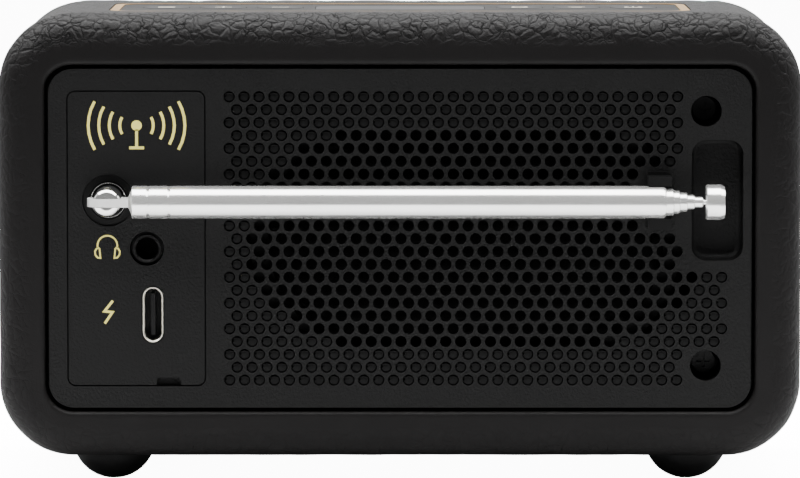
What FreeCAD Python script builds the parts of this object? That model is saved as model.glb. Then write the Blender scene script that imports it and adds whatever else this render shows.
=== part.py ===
import FreeCAD, Part
import math
import os

# Palm-size portable radio in a leather-covered cabinet, with a telescopic aerial on its back.
# +Z is up, the front faces -Y, the back faces +Y. The origin is on the surface the radio stands on,
# under the middle of its overall box. All sizes are in millimetres.

# ---------------------------------------------------------------- driving sizes: cabinet
case_width = 130.0
case_height = 72.0
case_depth = 55.0
case_corner_r = 12.2
rim_edge_r = 5.0            # rolled outer edge of the padded rims
rim_inner_edge_r = 0.7      # where the leather turns into the opening
rim_depth = 8.0             # how far each end cover reaches along the cabinet
rim_side = 7.65             # case side to opening
rim_above = 8.25            # case top to opening
rim_below = 7.65            # case bottom to opening
opening_corner_r = 4.6
leather_t = 1.0
wrap_inset = 0.1            # the wrap lies this much under the rims
seam_gap = 0.12
shell_wall = 2.5
ledge_t = 2.5
ledge_lip = 3.1             # how far the ledge shows inside the opening
ledge_corner_r = 3.0

# ---------------------------------------------------------------- driving sizes: feet
foot_height = 4.4
foot_dome_r = 6.85
foot_flat_r = 1.5
foot_from_side = 18.2
foot_from_end = 12.0
foot_seat_r = 3.4
foot_stem_r = 2.0
foot_barb_r = 2.7
foot_barb_t = 1.2

# ---------------------------------------------------------------- driving sizes: back panel
panel_gap = 0.6
panel_sink = 0.4            # the panel face lies this far under the rim face
panel_t = 2.2
panel_skirt_t = 1.3
panel_reach = 6.0           # face to the foot of the skirt
well_bore_r = 2.5
well_wall = 1.0
well_depth = 9.0
well_seat_t = 1.6
well_from_side = 7.35
well_from_edge = 6.85

# ---------------------------------------------------------------- driving sizes: grille pattern
hole_pitch = 2.41
hole_r = 0.91
dimple_depth = 0.5
row_count = 23
grid_from_side = 29.2       # panel side to the first hole centre
long_row_holes = 34
upper_row_holes = 31
clip_row_holes = 28
grille_margin = 0.42        # plate left outside the outermost holes
sound_window_half_w = 36.5  # the holes inside this rounded window go right through
sound_window_half_h = 18.6
sound_window_power = 2.7
sound_window_from_grid = 39.77

# ---------------------------------------------------------------- driving sizes: finger recess
recess_w = 8.35
recess_h = 19.55
recess_corner_r = 2.4
recess_depth = 4.8
recess_from_side = 5.5
recess_wall = 1.2

# ---------------------------------------------------------------- driving sizes: socket panel
socket_w = 22.0
socket_h = 47.5
socket_corner_r = 1.2
socket_t = 1.4
socket_gap = 0.22
socket_from_side = 14.175
socket_pad_t = 0.8
notch_w = 3.9
notch_h = 1.2
notch_off = -5.2
jack_off = -1.69            # from the socket panel's middle, along X
jack_drop = -1.65
jack_bore_r = 1.8
jack_barrel_r = 2.55
jack_nose_r = 2.25
jack_nose = 1.6             # length of the narrower nose in the socket panel
jack_lead_in = 0.25
jack_clear = 0.2
jack_length = 12.0
usb_off = -2.64
usb_drop = -12.35
usb_w = 8.94
usb_h = 3.26
usb_wall = 0.26
usb_rim_chamfer = 0.13
usb_length = 7.0
usb_tongue_t = 0.7
usb_tongue_w = 6.7

# ---------------------------------------------------------------- driving sizes: aerial
aerial_up = 6.2             # aerial above the panel middle
turret_from_side = 9.66
aerial_stand_off = 4.0      # aerial axis above the panel face
tube_radii = [2.65, 2.2, 1.9, 1.575, 1.225, 0.9]
tube_ends = [89.9, 91.1, 92.1, 93.3, 94.5, 95.9]
tube_clear = 0.05
tube_start = 4.1
tube_root = 8.3
tube_lip = 0.3               # length of the rounded end of a tube
outer_tube_lip = 0.8
flare_length = 1.0
tip_r = 2.875
tip_gap = 0.3
tip_length = 3.05
neck_r = 0.4
blade_t = 1.35
blade_half_w = 2.2
blade_reach = 3.2
slot_clear = 0.075
head_r = 2.85
head_neck_r = 2.35          # the fork stands in a thin-walled cup
cup_wall = 0.17
cup_sink = 0.3
cup_depth = 1.4
head_above_pin = 2.0
head_round = 1.25
pin_r = 0.6
pin_clear = 0.05
collar_r = 4.1
collar_clear = 0.1
collar_sink = 0.6
shaft_r = 1.5
crimp_depth = 0.12
crimp_w = 0.5
crimp_places = [2.5, 5.9]

# ---------------------------------------------------------------- driving sizes: aerial clip
clip_from_side = 15.0
clip_w = 3.75
clip_base_half = 4.7
clip_base_t = 0.8
clip_jaw_half = 4.15
clip_clear = 0.1
clip_hook = 0.9
clip_peg_w = 3.0
clip_peg_half = 3.2

# ---------------------------------------------------------------- driving sizes: top controls
control_w = 92.0
control_d = 26.0
control_corner_r = 3.0
control_sink = 0.14
control_t = 1.6
control_ledge = 2.0
bezel_w = 1.6
bezel_sink = 0.06           # the trim lies this much under the leather round it
control_clear = 0.1
button_r = 3.8
button_clear = 0.12
button_proud = 0.1
button_flange = 0.7
button_travel = 0.6
button_first = 19.8
button_pitch = 9.4
button_count_per_side = 3
window_w = 26.0
window_d = 10.0
window_corner_r = 1.5
key_board_drop = 6.5
key_board_t = 1.2
key_switch_h = 3.0

# ---------------------------------------------------------------- driving sizes: front
trim_w = 1.7
trim_gap = 0.3
trim_sink = 0.2
trim_depth = 2.8
front_grille_t = 0.8
front_grille_sink = 1.1
front_hole_pitch = 2.9
front_hole_r = 0.95
front_margin = 2.2
baffle_t = 2.5
post_r = 3.4
pilot_r = 1.0

# ---------------------------------------------------------------- driving sizes: speaker
speaker_r = 24.6
speaker_screw_reach = 23.0
speaker_flange_t = 1.0
surround_out_r = 20.0
surround_in_r = 17.0
cone_back_r = 6.6
cone_depth = 6.0
cone_t = 0.4
coil_r = 6.6
coil_t = 0.3
gap_side = 0.35
magnet_r = 13.5
magnet_t = 7.0
plate_t = 2.0
basket_depth = 12.0

# ---------------------------------------------------------------- driving sizes: passive radiator
radiator_w = 70.0
radiator_h = 44.0
radiator_frame_w = 3.0
radiator_frame_t = 3.0
radiator_roll_w = 5.0
radiator_disc_t = 1.6
radiator_from_grid = 38.2

# ---------------------------------------------------------------- driving sizes: inside
board_w = 78.0
board_d = 30.0
board_t = 1.6
board_up = 4.0              # main board above the cabinet floor
battery_t = 8.0
battery_d = 30.0
battery_h = 46.0
battery_from_side = 27.5
tray_wall = 1.2
tray_h = 12.0
lead_r = 0.6
screw_r = 1.0
screw_head_r = 1.9
screw_head_t = 1.2

# ---------------------------------------------------------------- worked-out places
panel_w = case_width - 2 * rim_side - 2 * panel_gap
opening_w = case_width - 2 * rim_side
opening_h = case_height - rim_above - rim_below
panel_h = opening_h - 2 * panel_gap
panel_corner_r = opening_corner_r - panel_gap
overall_depth = case_depth - panel_sink + aerial_stand_off + tip_r
y_front = -overall_depth / 2
y_rear = y_front + case_depth
y_panel = y_rear - panel_sink
y_aerial = y_panel + aerial_stand_off
y_rear_ledge = y_panel - panel_reach
y_front_ledge = y_front + panel_sink + panel_reach
y_middle = (y_front + y_rear) / 2
z_floor = foot_height
z_top = foot_height + case_height
z_case = foot_height + case_height / 2
z_panel = foot_height + rim_below + opening_h / 2
z_shell_top = z_top - leather_t
z_wrap_top = z_top - wrap_inset
z_inside_floor = z_floor + leather_t + shell_wall
x_side = panel_w / 2        # the panel's edge; -x_side is the right edge seen from behind
row_pitch = hole_pitch * math.sin(math.radians(60))
x_grid = x_side - grid_from_side
z_grid_top = (row_count - 1) / 2 * row_pitch
x_window = x_grid - sound_window_from_grid
x_turret = x_side - turret_from_side
z_aerial = z_panel + aerial_up
x_socket = x_side - socket_from_side
x_recess = -x_side + recess_from_side
x_clip = -x_side + clip_from_side
x_radiator = x_grid - radiator_from_grid
x_well = x_side - well_from_side
z_well = panel_h / 2 - well_from_edge
well_r = well_bore_r + well_wall
socket_recess_t = socket_t + 0.1
socket_pad_back = panel_t + socket_pad_t


# ---------------------------------------------------------------- helpers
def vec(x, y, z):
    return FreeCAD.Vector(x, y, z)


def rounded_wire(width, height, radius, to_point):
    """A rounded rectangle about (0, 0); to_point turns its two coordinates into a 3-D point."""
    half_w = width / 2 - radius
    half_h = height / 2 - radius
    edges = []
    corners = [(half_w, half_h, 0), (-half_w, half_h, 90), (-half_w, -half_h, 180), (half_w, -half_h, 270)]
    last = None
    first = None
    for cx, cz, start in corners:
        points = []
        for turn in (0, 45, 90):
            angle = math.radians(start + turn)
            points.append(to_point(cx + radius * math.cos(angle), cz + radius * math.sin(angle)))
        if last is not None and (points[0] - last).Length > 1e-6:
            edges.append(Part.makeLine(last, points[0]))
        if first is None:
            first = points[0]
        edges.append(Part.Arc(*points).toShape())
        last = points[2]
    if (first - last).Length > 1e-6:
        edges.append(Part.makeLine(last, first))
    return Part.Wire(edges)


def slab_y(width, height, radius, y0, y1, x=0.0, z=0.0):
    """A rounded rectangle in X and Z, pushed from y0 to y1. x and z are its middle."""
    wire = rounded_wire(width, height, radius, lambda u, v: vec(x + u, y0, z + v))
    return Part.Face(wire).extrude(vec(0, y1 - y0, 0))


def slab_z(width, depth, radius, z0, z1, x=0.0, y=0.0):
    """A rounded rectangle in X and Y, pushed from z0 to z1."""
    wire = rounded_wire(width, depth, radius, lambda u, v: vec(x + u, y + v, z0))
    return Part.Face(wire).extrude(vec(0, 0, z1 - z0))


def box(x0, x1, y0, y1, z0, z1):
    return Part.makeBox(x1 - x0, y1 - y0, z1 - z0, vec(x0, y0, z0))


def rod_y(x, z, radius, y0, y1):
    return Part.makeCylinder(radius, y1 - y0, vec(x, y0, z), vec(0, 1, 0))


def rod_z(x, y, radius, z0, z1):
    return Part.makeCylinder(radius, z1 - z0, vec(x, y, z0), vec(0, 0, 1))


def rod_x(y, z, radius, x0, x1):
    return Part.makeCylinder(radius, x1 - x0, vec(x0, y, z), vec(1, 0, 0))


def turned(points, base, axis, to_point):
    """A closed outline of (along, radius) points turned about an axis."""
    placed = [to_point(along, radius) for along, radius in points]
    face = Part.Face(Part.makePolygon(placed + [placed[0]]))
    return face.revolve(base, axis, 360)


def turned_y(points, x, z):
    """Outline points are (y, radius), turned about the line through x, z along Y."""
    return turned(points, vec(x, 0, z), vec(0, 1, 0), lambda y, r: vec(x + r, y, z))


def turned_aerial(points):
    """Outline points are (distance from the hinge pin, radius), turned about the folded aerial's axis."""
    base = vec(x_turret, y_aerial, z_aerial)
    return turned(points, base, vec(-1, 0, 0), lambda s, r: vec(x_turret - s, y_aerial, z_aerial + r))


def edges_at_y(shape, y, half_w=None, half_h=None):
    """Edges that lie in the plane y; with half sizes given, only those of the opening."""
    found = []
    for edge in shape.Edges:
        ends = [vertex.Point for vertex in edge.Vertexes]
        flat = all(abs(p.y - y) < 1e-5 for p in ends)
        inside = half_w is None or all(
            abs(p.x) < half_w + 0.01 and abs(p.z - z_panel) < half_h + 0.01 for p in ends
        )
        if flat and inside:
            found.append(edge)
    return found


def fuse(shapes):
    return shapes[0].fuse(shapes[1:]).removeSplitter()


def lead_path(points):
    """Straight runs joined by tangent arcs; each arc uses 0.45 of the shorter run beside it."""
    edges = []
    radii = []
    start = points[0]
    for before, corner, after in zip(points, points[1:], points[2:]):
        into = (corner - before).normalize()
        out = (after - corner).normalize()
        shorter = min((corner - before).Length, (after - corner).Length)
        half_turn = into.getAngle(out) / 2
        cut = 0.45 * shorter
        radius = cut / math.tan(half_turn)
        radii.append(round(radius, 1))
        arc_start = corner - into * cut
        arc_end = corner + out * cut
        bisector = (out - into).normalize()
        middle = corner + bisector * (radius / math.cos(half_turn) - radius)
        edges.append(Part.LineSegment(start, arc_start).toShape())
        edges.append(Part.Arc(arc_start, middle, arc_end).toShape())
        start = arc_end
    edges.append(Part.LineSegment(start, points[-1]).toShape())
    return Part.Wire(edges), radii


def lead(name, points):
    """An insulated wire along its points."""
    path, radii = lead_path(points)
    along = (points[1] - points[0]).normalize()
    circle = Part.Wire(Part.makeCircle(lead_r, points[0], along))
    solid = path.makePipeShell([circle], True, True)
    ratio = solid.Volume / (math.pi * lead_r ** 2 * path.Length)
    print(name, "bend radii", radii, "length", round(path.Length, 1), "volume ratio", round(ratio, 3))
    return solid


# ---------------------------------------------------------------- cabinet
def end_block(inset, y0, y1, rear):
    """The cabinet's outer form less an even inset, with its rolled edge at the open end."""
    block = slab_y(
        case_width - 2 * inset, case_height - 2 * inset, case_corner_r - inset, y0, y1, 0, z_case
    )
    end = y1 if rear else y0
    return block.makeFillet(rim_edge_r - inset, edges_at_y(block, end))


def opening_cut(grow, y0, y1):
    return slab_y(
        opening_w + 2 * grow, opening_h + 2 * grow, opening_corner_r + grow, y0, y1, 0, z_panel
    )


def cabinet_shell():
    """Moulded tube with a ledge at each end, a seat for the controls in its top and holes for the feet."""
    y0 = y_front + leather_t
    y1 = y_rear - leather_t
    shell = slab_y(
        case_width - 2 * leather_t, case_height - 2 * leather_t, case_corner_r - leather_t, y0, y1, 0, z_case
    )
    ends = edges_at_y(shell, y0) + edges_at_y(shell, y1)
    shell = shell.makeFillet(rim_edge_r - leather_t, ends)
    inset = leather_t + shell_wall
    cavity = slab_y(
        case_width - 2 * inset, case_height - 2 * inset, case_corner_r - inset,
        y_front_ledge + ledge_t, y_rear_ledge - ledge_t, 0, z_case,
    )
    through = slab_y(
        opening_w - 2 * ledge_lip, opening_h - 2 * ledge_lip, ledge_corner_r, y0 - 1, y1 + 1, 0, z_panel
    )
    cuts = [
        cavity,
        through,
        opening_cut(leather_t, y_rear_ledge, y1 + 1),
        opening_cut(leather_t, y0 - 1, y_front_ledge),
        slab_z(control_w, control_d, control_corner_r, z_control_seat, z_top, 0, y_middle),
        slab_z(
            control_w - 2 * control_ledge, control_d - 2 * control_ledge, control_corner_r,
            z_shell_top - shell_wall - 1, z_top, 0, y_middle,
        ),
    ]
    for x, y in foot_places():
        cuts.append(rod_z(x, y, foot_stem_r, z_floor, z_inside_floor + 1))
    return shell.cut(cuts)


def end_cover(rear):
    """Leather over one rim, rolled round its outer edge and turned in at the opening."""
    if rear:
        outer = end_block(0, y_rear - rim_depth, y_rear, True)
        core = end_block(leather_t, y_rear - rim_depth - 1, y_rear - leather_t, True)
        hollow = core.cut(opening_cut(leather_t, y_rear_ledge, y_rear + 1))
        cover = outer.cut([opening_cut(0, y_rear_ledge, y_rear + 1), hollow])
        face = y_rear
    else:
        outer = end_block(0, y_front, y_front + rim_depth, False)
        core = end_block(leather_t, y_front + leather_t, y_front + rim_depth + 1, False)
        hollow = core.cut(opening_cut(leather_t, y_front - 1, y_front_ledge))
        cover = outer.cut([opening_cut(0, y_front - 1, y_front_ledge), hollow])
        face = y_front
    edges = edges_at_y(cover, face, opening_w / 2, opening_h / 2)
    return cover.makeFillet(rim_inner_edge_r, edges)


def leather_wrap():
    """The band of leather between the two end covers."""
    y0 = y_front + rim_depth + seam_gap
    y1 = y_rear - rim_depth - seam_gap
    outer = slab_y(
        case_width - 2 * wrap_inset, case_height - 2 * wrap_inset, case_corner_r - wrap_inset,
        y0, y1, 0, z_case,
    )
    inner = slab_y(
        case_width - 2 * leather_t, case_height - 2 * leather_t, case_corner_r - leather_t,
        y0 - 1, y1 + 1, 0, z_case,
    )
    grown = 2 * (bezel_w + control_clear)
    top_cut = slab_z(
        control_w + grown, control_d + grown, control_corner_r + grown / 2, z_case, z_top + 1, 0, y_middle
    )
    cuts = [inner, top_cut]
    for x, y in foot_places():
        cuts.append(rod_z(x, y, foot_stem_r, z_floor - 1, z_inside_floor))
    return outer.cut(cuts)


def foot_places():
    xs = (case_width / 2 - foot_from_side, -case_width / 2 + foot_from_side)
    ys = (y_front + foot_from_end, y_rear - foot_from_end)
    return [(x, y) for x in xs for y in ys]


def rubber_feet():
    """Domed push-in feet: a dome under the wrap, a stem through the floor and a barb inside."""
    centre_z = math.sqrt(foot_dome_r ** 2 - foot_flat_r ** 2)
    feet = []
    for x, y in foot_places():
        ball = Part.makeSphere(foot_dome_r, vec(x, y, centre_z))
        dome = ball.common(rod_z(x, y, foot_dome_r + 1, 0, z_floor))
        seat = rod_z(x, y, foot_seat_r, z_floor - 1, z_floor + wrap_inset)
        stem = rod_z(x, y, foot_stem_r, z_floor - 1, z_inside_floor)
        barb = rod_z(x, y, foot_barb_r, z_inside_floor, z_inside_floor + foot_barb_t)
        feet.append(fuse([dome, seat, stem, barb]))
    return Part.makeCompound(feet)


# ---------------------------------------------------------------- back panel and grille
def row_x(row, index):
    offset = hole_pitch / 2 if row % 2 else 0.0
    return x_grid - offset - index * hole_pitch


def row_z(row):
    return z_panel + z_grid_top - row * row_pitch


def holes_in_row(row):
    """Rows beside the clip are short, and the lower rows run on under the finger recess."""
    below = row - row_count // 2
    if -5 <= below <= -1:
        return clip_row_holes - row % 2
    if 3 <= below <= 8:
        return long_row_holes - row % 2
    return upper_row_holes - row % 2


def is_open(x, z):
    """Inside the rounded sound window a hole goes right through; outside it is a dimple."""
    u = abs(x - x_window) / sound_window_half_w
    v = abs(z - z_panel) / sound_window_half_h
    return u ** sound_window_power + v ** sound_window_power <= 1


def grille_holes():
    """All hole centres as (x, z, goes through)."""
    found = []
    for row in range(row_count):
        for index in range(holes_in_row(row)):
            x = row_x(row, index)
            z = row_z(row)
            found.append((x, z, is_open(x, z)))
    return found


def grille_outline():
    """Corners of the perforated field, with its step under the finger recess."""
    margin = hole_r + grille_margin
    left = x_grid + margin
    right = row_x(0, upper_row_holes - 1) - margin
    far_right = row_x(0, long_row_holes - 1) - margin
    middle = row_count // 2
    step_top = row_z(middle + 3) + margin
    step_low = row_z(middle + 8) - hole_r - 0.2
    top = row_z(0) + margin
    low = row_z(row_count - 1) - margin
    return [
        (left, top), (right, top), (right, step_top), (far_right, step_top),
        (far_right, step_low), (right, step_low), (right, low), (left, low),
    ]


def outline_prism(points, y0, y1):
    corners = [vec(x, y0, z) for x, z in points]
    face = Part.Face(Part.makePolygon(corners + [corners[0]]))
    return face.extrude(vec(0, y1 - y0, 0))


def rear_grille():
    """The perforated field of the back: through holes over the passive radiator, dimples round them."""
    corners = [vec(x, y_panel - panel_t, z) for x, z in grille_outline()]
    wires = [Part.makePolygon(corners + [corners[0]])]
    dimples = []
    for x, z, goes_through in grille_holes():
        if goes_through:
            wires.append(Part.Wire(Part.makeCircle(hole_r, vec(x, y_panel - panel_t, z), vec(0, 1, 0))))
        else:
            dimples.append(rod_y(x, z, hole_r, y_panel - dimple_depth, y_panel + 1))
    face = Part.Face(wires, "Part::FaceMakerBullseye")
    plate = face.extrude(vec(0, panel_t, 0))
    return plate.cut(dimples + [clip_peg_slot()])


def clip_peg_slot():
    return box(
        x_clip - clip_peg_w / 2, x_clip + clip_peg_w / 2, y_panel - panel_t - 1, y_panel + 1,
        z_aerial - clip_peg_half, z_aerial + clip_peg_half,
    )


def well_places():
    return [(x, z_panel + z) for x in (x_well, -x_well) for z in (z_well, -z_well)]


def back_panel():
    """Frame of the back: skirt, screw wells, finger recess, and the seat of the socket panel."""
    y_foot = y_rear_ledge
    plate = slab_y(panel_w, panel_h, panel_corner_r, y_panel - panel_t, y_panel, 0, z_panel)
    skirt = slab_y(panel_w, panel_h, panel_corner_r, y_foot, y_panel - panel_t, 0, z_panel).cut(
        slab_y(
            panel_w - 2 * panel_skirt_t, panel_h - 2 * panel_skirt_t, panel_corner_r - panel_skirt_t,
            y_foot - 1, y_panel, 0, z_panel,
        )
    )
    window = outline_prism(grille_outline(), y_panel - panel_t - 1, y_panel + 1)
    recess_block = slab_y(
        recess_w + 2 * recess_wall, recess_h + 2 * recess_wall, recess_corner_r + recess_wall,
        y_foot, y_panel - panel_t, x_recess, z_aerial,
    ).common(slab_y(panel_w, panel_h, panel_corner_r, y_foot, y_panel, 0, z_panel))
    pad = slab_y(
        socket_w + 2, socket_h + 1, socket_corner_r, y_panel - socket_pad_back, y_panel - panel_t,
        x_socket, z_panel,
    )
    solids = [plate.cut(window), skirt, recess_block, pad]
    cuts = [
        finger_recess(),
        clip_peg_slot(),
        slab_y(
            socket_w + 2 * socket_gap, socket_h + 2 * socket_gap, socket_corner_r + socket_gap,
            y_panel - socket_recess_t, y_panel + 1, x_socket, z_panel,
        ),
        rod_y(x_turret, z_aerial, collar_r - 0.5 + collar_clear, y_foot - 1, y_panel),
        rod_y(x_socket + jack_off, z_panel + jack_drop, jack_barrel_r + jack_clear, y_foot - 1, y_panel),
        usb_slot(y_foot - 1, y_panel),
    ]
    for x, z in well_places():
        solids.append(rod_y(x, z, well_r, y_panel - well_depth - well_seat_t, y_panel - panel_t))
        cuts.append(rod_y(x, z, well_bore_r, y_panel - well_depth, y_panel + 1))
        cuts.append(rod_y(x, z, screw_r + 0.15, y_panel - well_depth - well_seat_t - 1, y_panel))
    return fuse(solids).cut(cuts)


def finger_recess():
    """Hollow under the aerial's tip, with its floor rounded into its walls."""
    floor = y_panel - recess_depth
    block = slab_y(recess_w, recess_h, recess_corner_r, floor, y_panel + 1, x_recess, z_aerial)
    return block.makeFillet(1.0, edges_at_y(block, floor))


def usb_slot(y0, y1):
    clear = 2 * jack_clear
    return slab_y(
        usb_h + clear, usb_w + clear, (usb_h + clear) / 2, y0, y1, x_socket + usb_off, z_panel + usb_drop
    )


# ---------------------------------------------------------------- socket panel and sockets
def socket_panel():
    """Snap-in cover over the sockets, with a nail notch in its lower edge."""
    y0 = y_panel - socket_t
    plate = slab_y(socket_w, socket_h, socket_corner_r, y0, y_panel, x_socket, z_panel)
    low = z_panel - socket_h / 2
    x_notch = x_socket + notch_off
    notch = slab_y(notch_w, 2 * notch_h, 0.5, y0 - 1, y_panel + 1, x_notch, low)
    cuts = [
        notch,
        rod_y(x_turret, z_aerial, collar_r + collar_clear, y0 - 1, y_panel + 1),
        rod_y(x_socket + jack_off, z_panel + jack_drop, jack_barrel_r + jack_clear, y0 - 1, y_panel + 1),
        usb_slot(y0 - 1, y_panel + 1),
    ]
    return plate.cut(cuts)


def headphone_jack():
    """Barrel and body of the headphone socket, with the plug's bore open to the back."""
    x = x_socket + jack_off
    z = z_panel + jack_drop
    mouth = y_panel - 0.3
    deep = mouth - jack_length
    barrel = fuse([
        rod_y(x, z, jack_barrel_r, y_socket_board, mouth - jack_nose),
        rod_y(x, z, jack_nose_r, mouth - jack_nose - 0.5, mouth),
    ])
    body = box(x - 3, x + 3, deep - 1.2, y_socket_board - socket_board_t, z - 3, z + 3)
    neck = rod_y(x, z, jack_barrel_r - 0.3, deep, mouth - 1)
    bore = rod_y(x, z, jack_bore_r, deep, mouth + 1)
    lead_in = Part.makeCone(
        jack_bore_r, jack_bore_r + jack_lead_in, jack_lead_in, vec(x, mouth - jack_lead_in, z), vec(0, 1, 0)
    )
    return fuse([barrel, neck, body]).cut([bore, lead_in])


def usb_shell():
    """Drawn steel shell of the charging socket."""
    x = x_socket + usb_off
    z = z_panel + usb_drop
    mouth = y_panel - 0.1
    deep = mouth - usb_length
    outer = slab_y(usb_h, usb_w, usb_h / 2, deep, mouth, x, z)
    inner = slab_y(
        usb_h - 2 * usb_wall, usb_w - 2 * usb_wall, usb_h / 2 - usb_wall, deep + usb_wall, mouth + 1, x, z
    )
    shell = outer.cut(inner)
    inside = usb_h / 2 - usb_wall / 2
    rim = [e for e in edges_at_y(shell, mouth) if all(abs(v.X - x) < inside for v in e.Vertexes)]
    return shell.makeChamfer(usb_rim_chamfer, rim)


def usb_tongue():
    x = x_socket + usb_off
    z = z_panel + usb_drop
    back = y_panel - 0.1 - usb_length + usb_wall
    half_t = usb_tongue_t / 2
    half_w = usb_tongue_w / 2
    tongue = box(x - half_t, x + half_t, back, y_panel - 1.3, z - half_w, z + half_w)
    root = slab_y(
        usb_h - 2 * usb_wall, usb_w - 2 * usb_wall, usb_h / 2 - usb_wall, back, back + 1.2, x, z
    )
    return fuse([root, tongue])


socket_board_t = 1.2
y_socket_board = y_panel - 8.2


def socket_board():
    """The board that carries both sockets, standing behind the panel."""
    x0 = x_socket + jack_off - 6.0
    x1 = x_well - well_r - 1.0
    z0 = z_panel + usb_drop - usb_w / 2 - 2.0
    z1 = z_aerial - collar_r - 1.0
    board = box(x0, x1, y_socket_board - socket_board_t, y_socket_board, z0, z1)
    hole = rod_y(
        x_socket + jack_off, z_panel + jack_drop, jack_barrel_r, y_socket_board - 2, y_socket_board + 1
    )
    return board.cut(hole)


# ---------------------------------------------------------------- aerial
def turret_collar():
    """Fixed bush in which the turret turns."""
    top = y_panel - collar_sink
    floor = y_panel - socket_recess_t
    bore_floor = y_panel - 2.4
    shape = fuse([
        rod_y(x_turret, z_aerial, collar_r, floor, top),
        rod_y(x_turret, z_aerial, collar_r - 0.5, y_rear_ledge, floor),
    ])
    return shape.cut([
        rod_y(x_turret, z_aerial, head_r + 0.25, bore_floor, top + 1),
        rod_y(x_turret, z_aerial, shaft_r + tube_clear, y_rear_ledge - 1, top),
    ])


def aerial_turret():
    """Turning head with the slot for the blade, on its shaft."""
    top = y_aerial + head_above_pin
    rim = y_panel - cup_sink
    cup = rod_y(x_turret, z_aerial, head_r, y_panel - 2.3, rim)
    hollow = rod_y(x_turret, z_aerial, head_r - cup_wall, rim - cup_depth, rim + 1)
    neck = rod_y(x_turret, z_aerial, head_neck_r, y_panel - 2.3, top)
    neck = neck.makeFillet(head_round, edges_at_y(neck, top))
    head = fuse([cup.cut(hollow), neck])
    shaft = rod_y(x_turret, z_aerial, shaft_r, y_rear_ledge - 3.0, y_panel - 2.3)
    slot = box(
        x_turret - head_r - 1, x_turret + head_r + 1, y_aerial - blade_reach - 0.2, top + 1,
        z_aerial - blade_t / 2 - slot_clear, z_aerial + blade_t / 2 + slot_clear,
    )
    pin_hole = rod_z(x_turret, y_aerial, pin_r, z_aerial - head_r - 1, z_aerial + head_r + 1)
    return fuse([head, shaft]).cut([slot, pin_hole])


def turret_nut():
    """Nut and spring washer that pull the turret down, inside the cabinet."""
    nut = Part.Face(hexagon(2.7, y_rear_ledge - 2.2)).extrude(vec(0, 1.6, 0))
    washer = rod_y(x_turret, z_aerial, 3.0, y_rear_ledge - 0.6, y_rear_ledge - 0.1)
    hole = rod_y(x_turret, z_aerial, shaft_r, y_rear_ledge - 4, y_rear_ledge + 1)
    return fuse([nut, washer]).cut(hole)


def hexagon(across_corners, y):
    corners = []
    for step in range(7):
        angle = math.radians(60 * step)
        x = x_turret + across_corners * math.cos(angle)
        corners.append(vec(x, y, z_aerial + across_corners * math.sin(angle)))
    return Part.makePolygon(corners)


def hinge_pin():
    reach = head_neck_r - 0.12
    return rod_z(x_turret, y_aerial, pin_r, z_aerial - reach, z_aerial + reach)


def aerial_base_fitting():
    """Flat blade in the turret's slot, flaring into the plug that holds the outer tube."""
    plug_r = tube_radii[1] + tube_clear
    flare_start = tube_start - flare_length
    x_nose = x_turret + blade_reach - blade_half_w
    z0 = z_aerial - blade_t / 2
    z1 = z_aerial + blade_t / 2
    bar = box(
        x_turret - flare_start - 0.4, x_nose, y_aerial - blade_half_w, y_aerial + blade_half_w, z0, z1
    )
    nose = rod_z(x_nose, y_aerial, blade_half_w, z0, z1)
    steps = 5
    outline = [(flare_start, 0), (flare_start, blade_t / 2)]
    for step in range(1, steps + 1):
        share = step / steps
        rise = (tube_radii[0] - blade_t / 2) * (1 - math.cos(share * math.pi / 2))
        outline.append((flare_start + flare_length * share, blade_t / 2 + rise))
    outline += [(tube_start, plug_r), (tube_root - 0.8, plug_r), (tube_root - 0.8, 0)]
    body = fuse([bar, nose, turned_aerial(outline)])
    return body.cut(rod_z(x_turret, y_aerial, pin_r + pin_clear, z_aerial - 2, z_aerial + 2))


def aerial_tube(number):
    """One drawn tube of the aerial, with its end drawn in a little round the next tube."""
    index = number - 1
    radius = tube_radii[index]
    bore = tube_radii[index + 1] + tube_clear
    start = tube_start if number == 1 else tube_root
    end = tube_ends[index]
    lip = outer_tube_lip if number == 1 else tube_lip
    drop = (radius - bore) * 0.85
    outline = [(start, bore), (start, radius)]
    if number == 1:
        for place in crimp_places:
            middle = start + place
            outline += [
                (middle - crimp_w / 2, radius),
                (middle, radius - crimp_depth),
                (middle + crimp_w / 2, radius),
            ]
    steps = 4
    for step in range(steps + 1):
        angle = step / steps * math.pi / 2
        outline.append((end - lip * (1 - math.sin(angle)), radius - drop * (1 - math.cos(angle))))
    outline.append((end, bore))
    return turned_aerial(outline)


def aerial_rod():
    """Solid innermost section, necked down where the tip is pressed on."""
    radius = tube_radii[5]
    end = tube_ends[5]
    outline = [
        (tube_root, 0), (tube_root, radius), (end - 0.25, radius), (end, radius - 0.25), (end, neck_r),
        (end + tip_gap + 1.4, neck_r), (end + tip_gap + 1.4, 0),
    ]
    return turned_aerial(outline)


def aerial_tip():
    start = tube_ends[5] + tip_gap
    end = start + tip_length
    outline = [
        (start, neck_r), (start, tip_r - 0.25), (start + 0.25, tip_r), (end - 0.7, tip_r),
        (end, tip_r - 0.3), (end, 0), (start + 1.4, 0), (start + 1.4, neck_r),
    ]
    return turned_aerial(outline)


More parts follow.
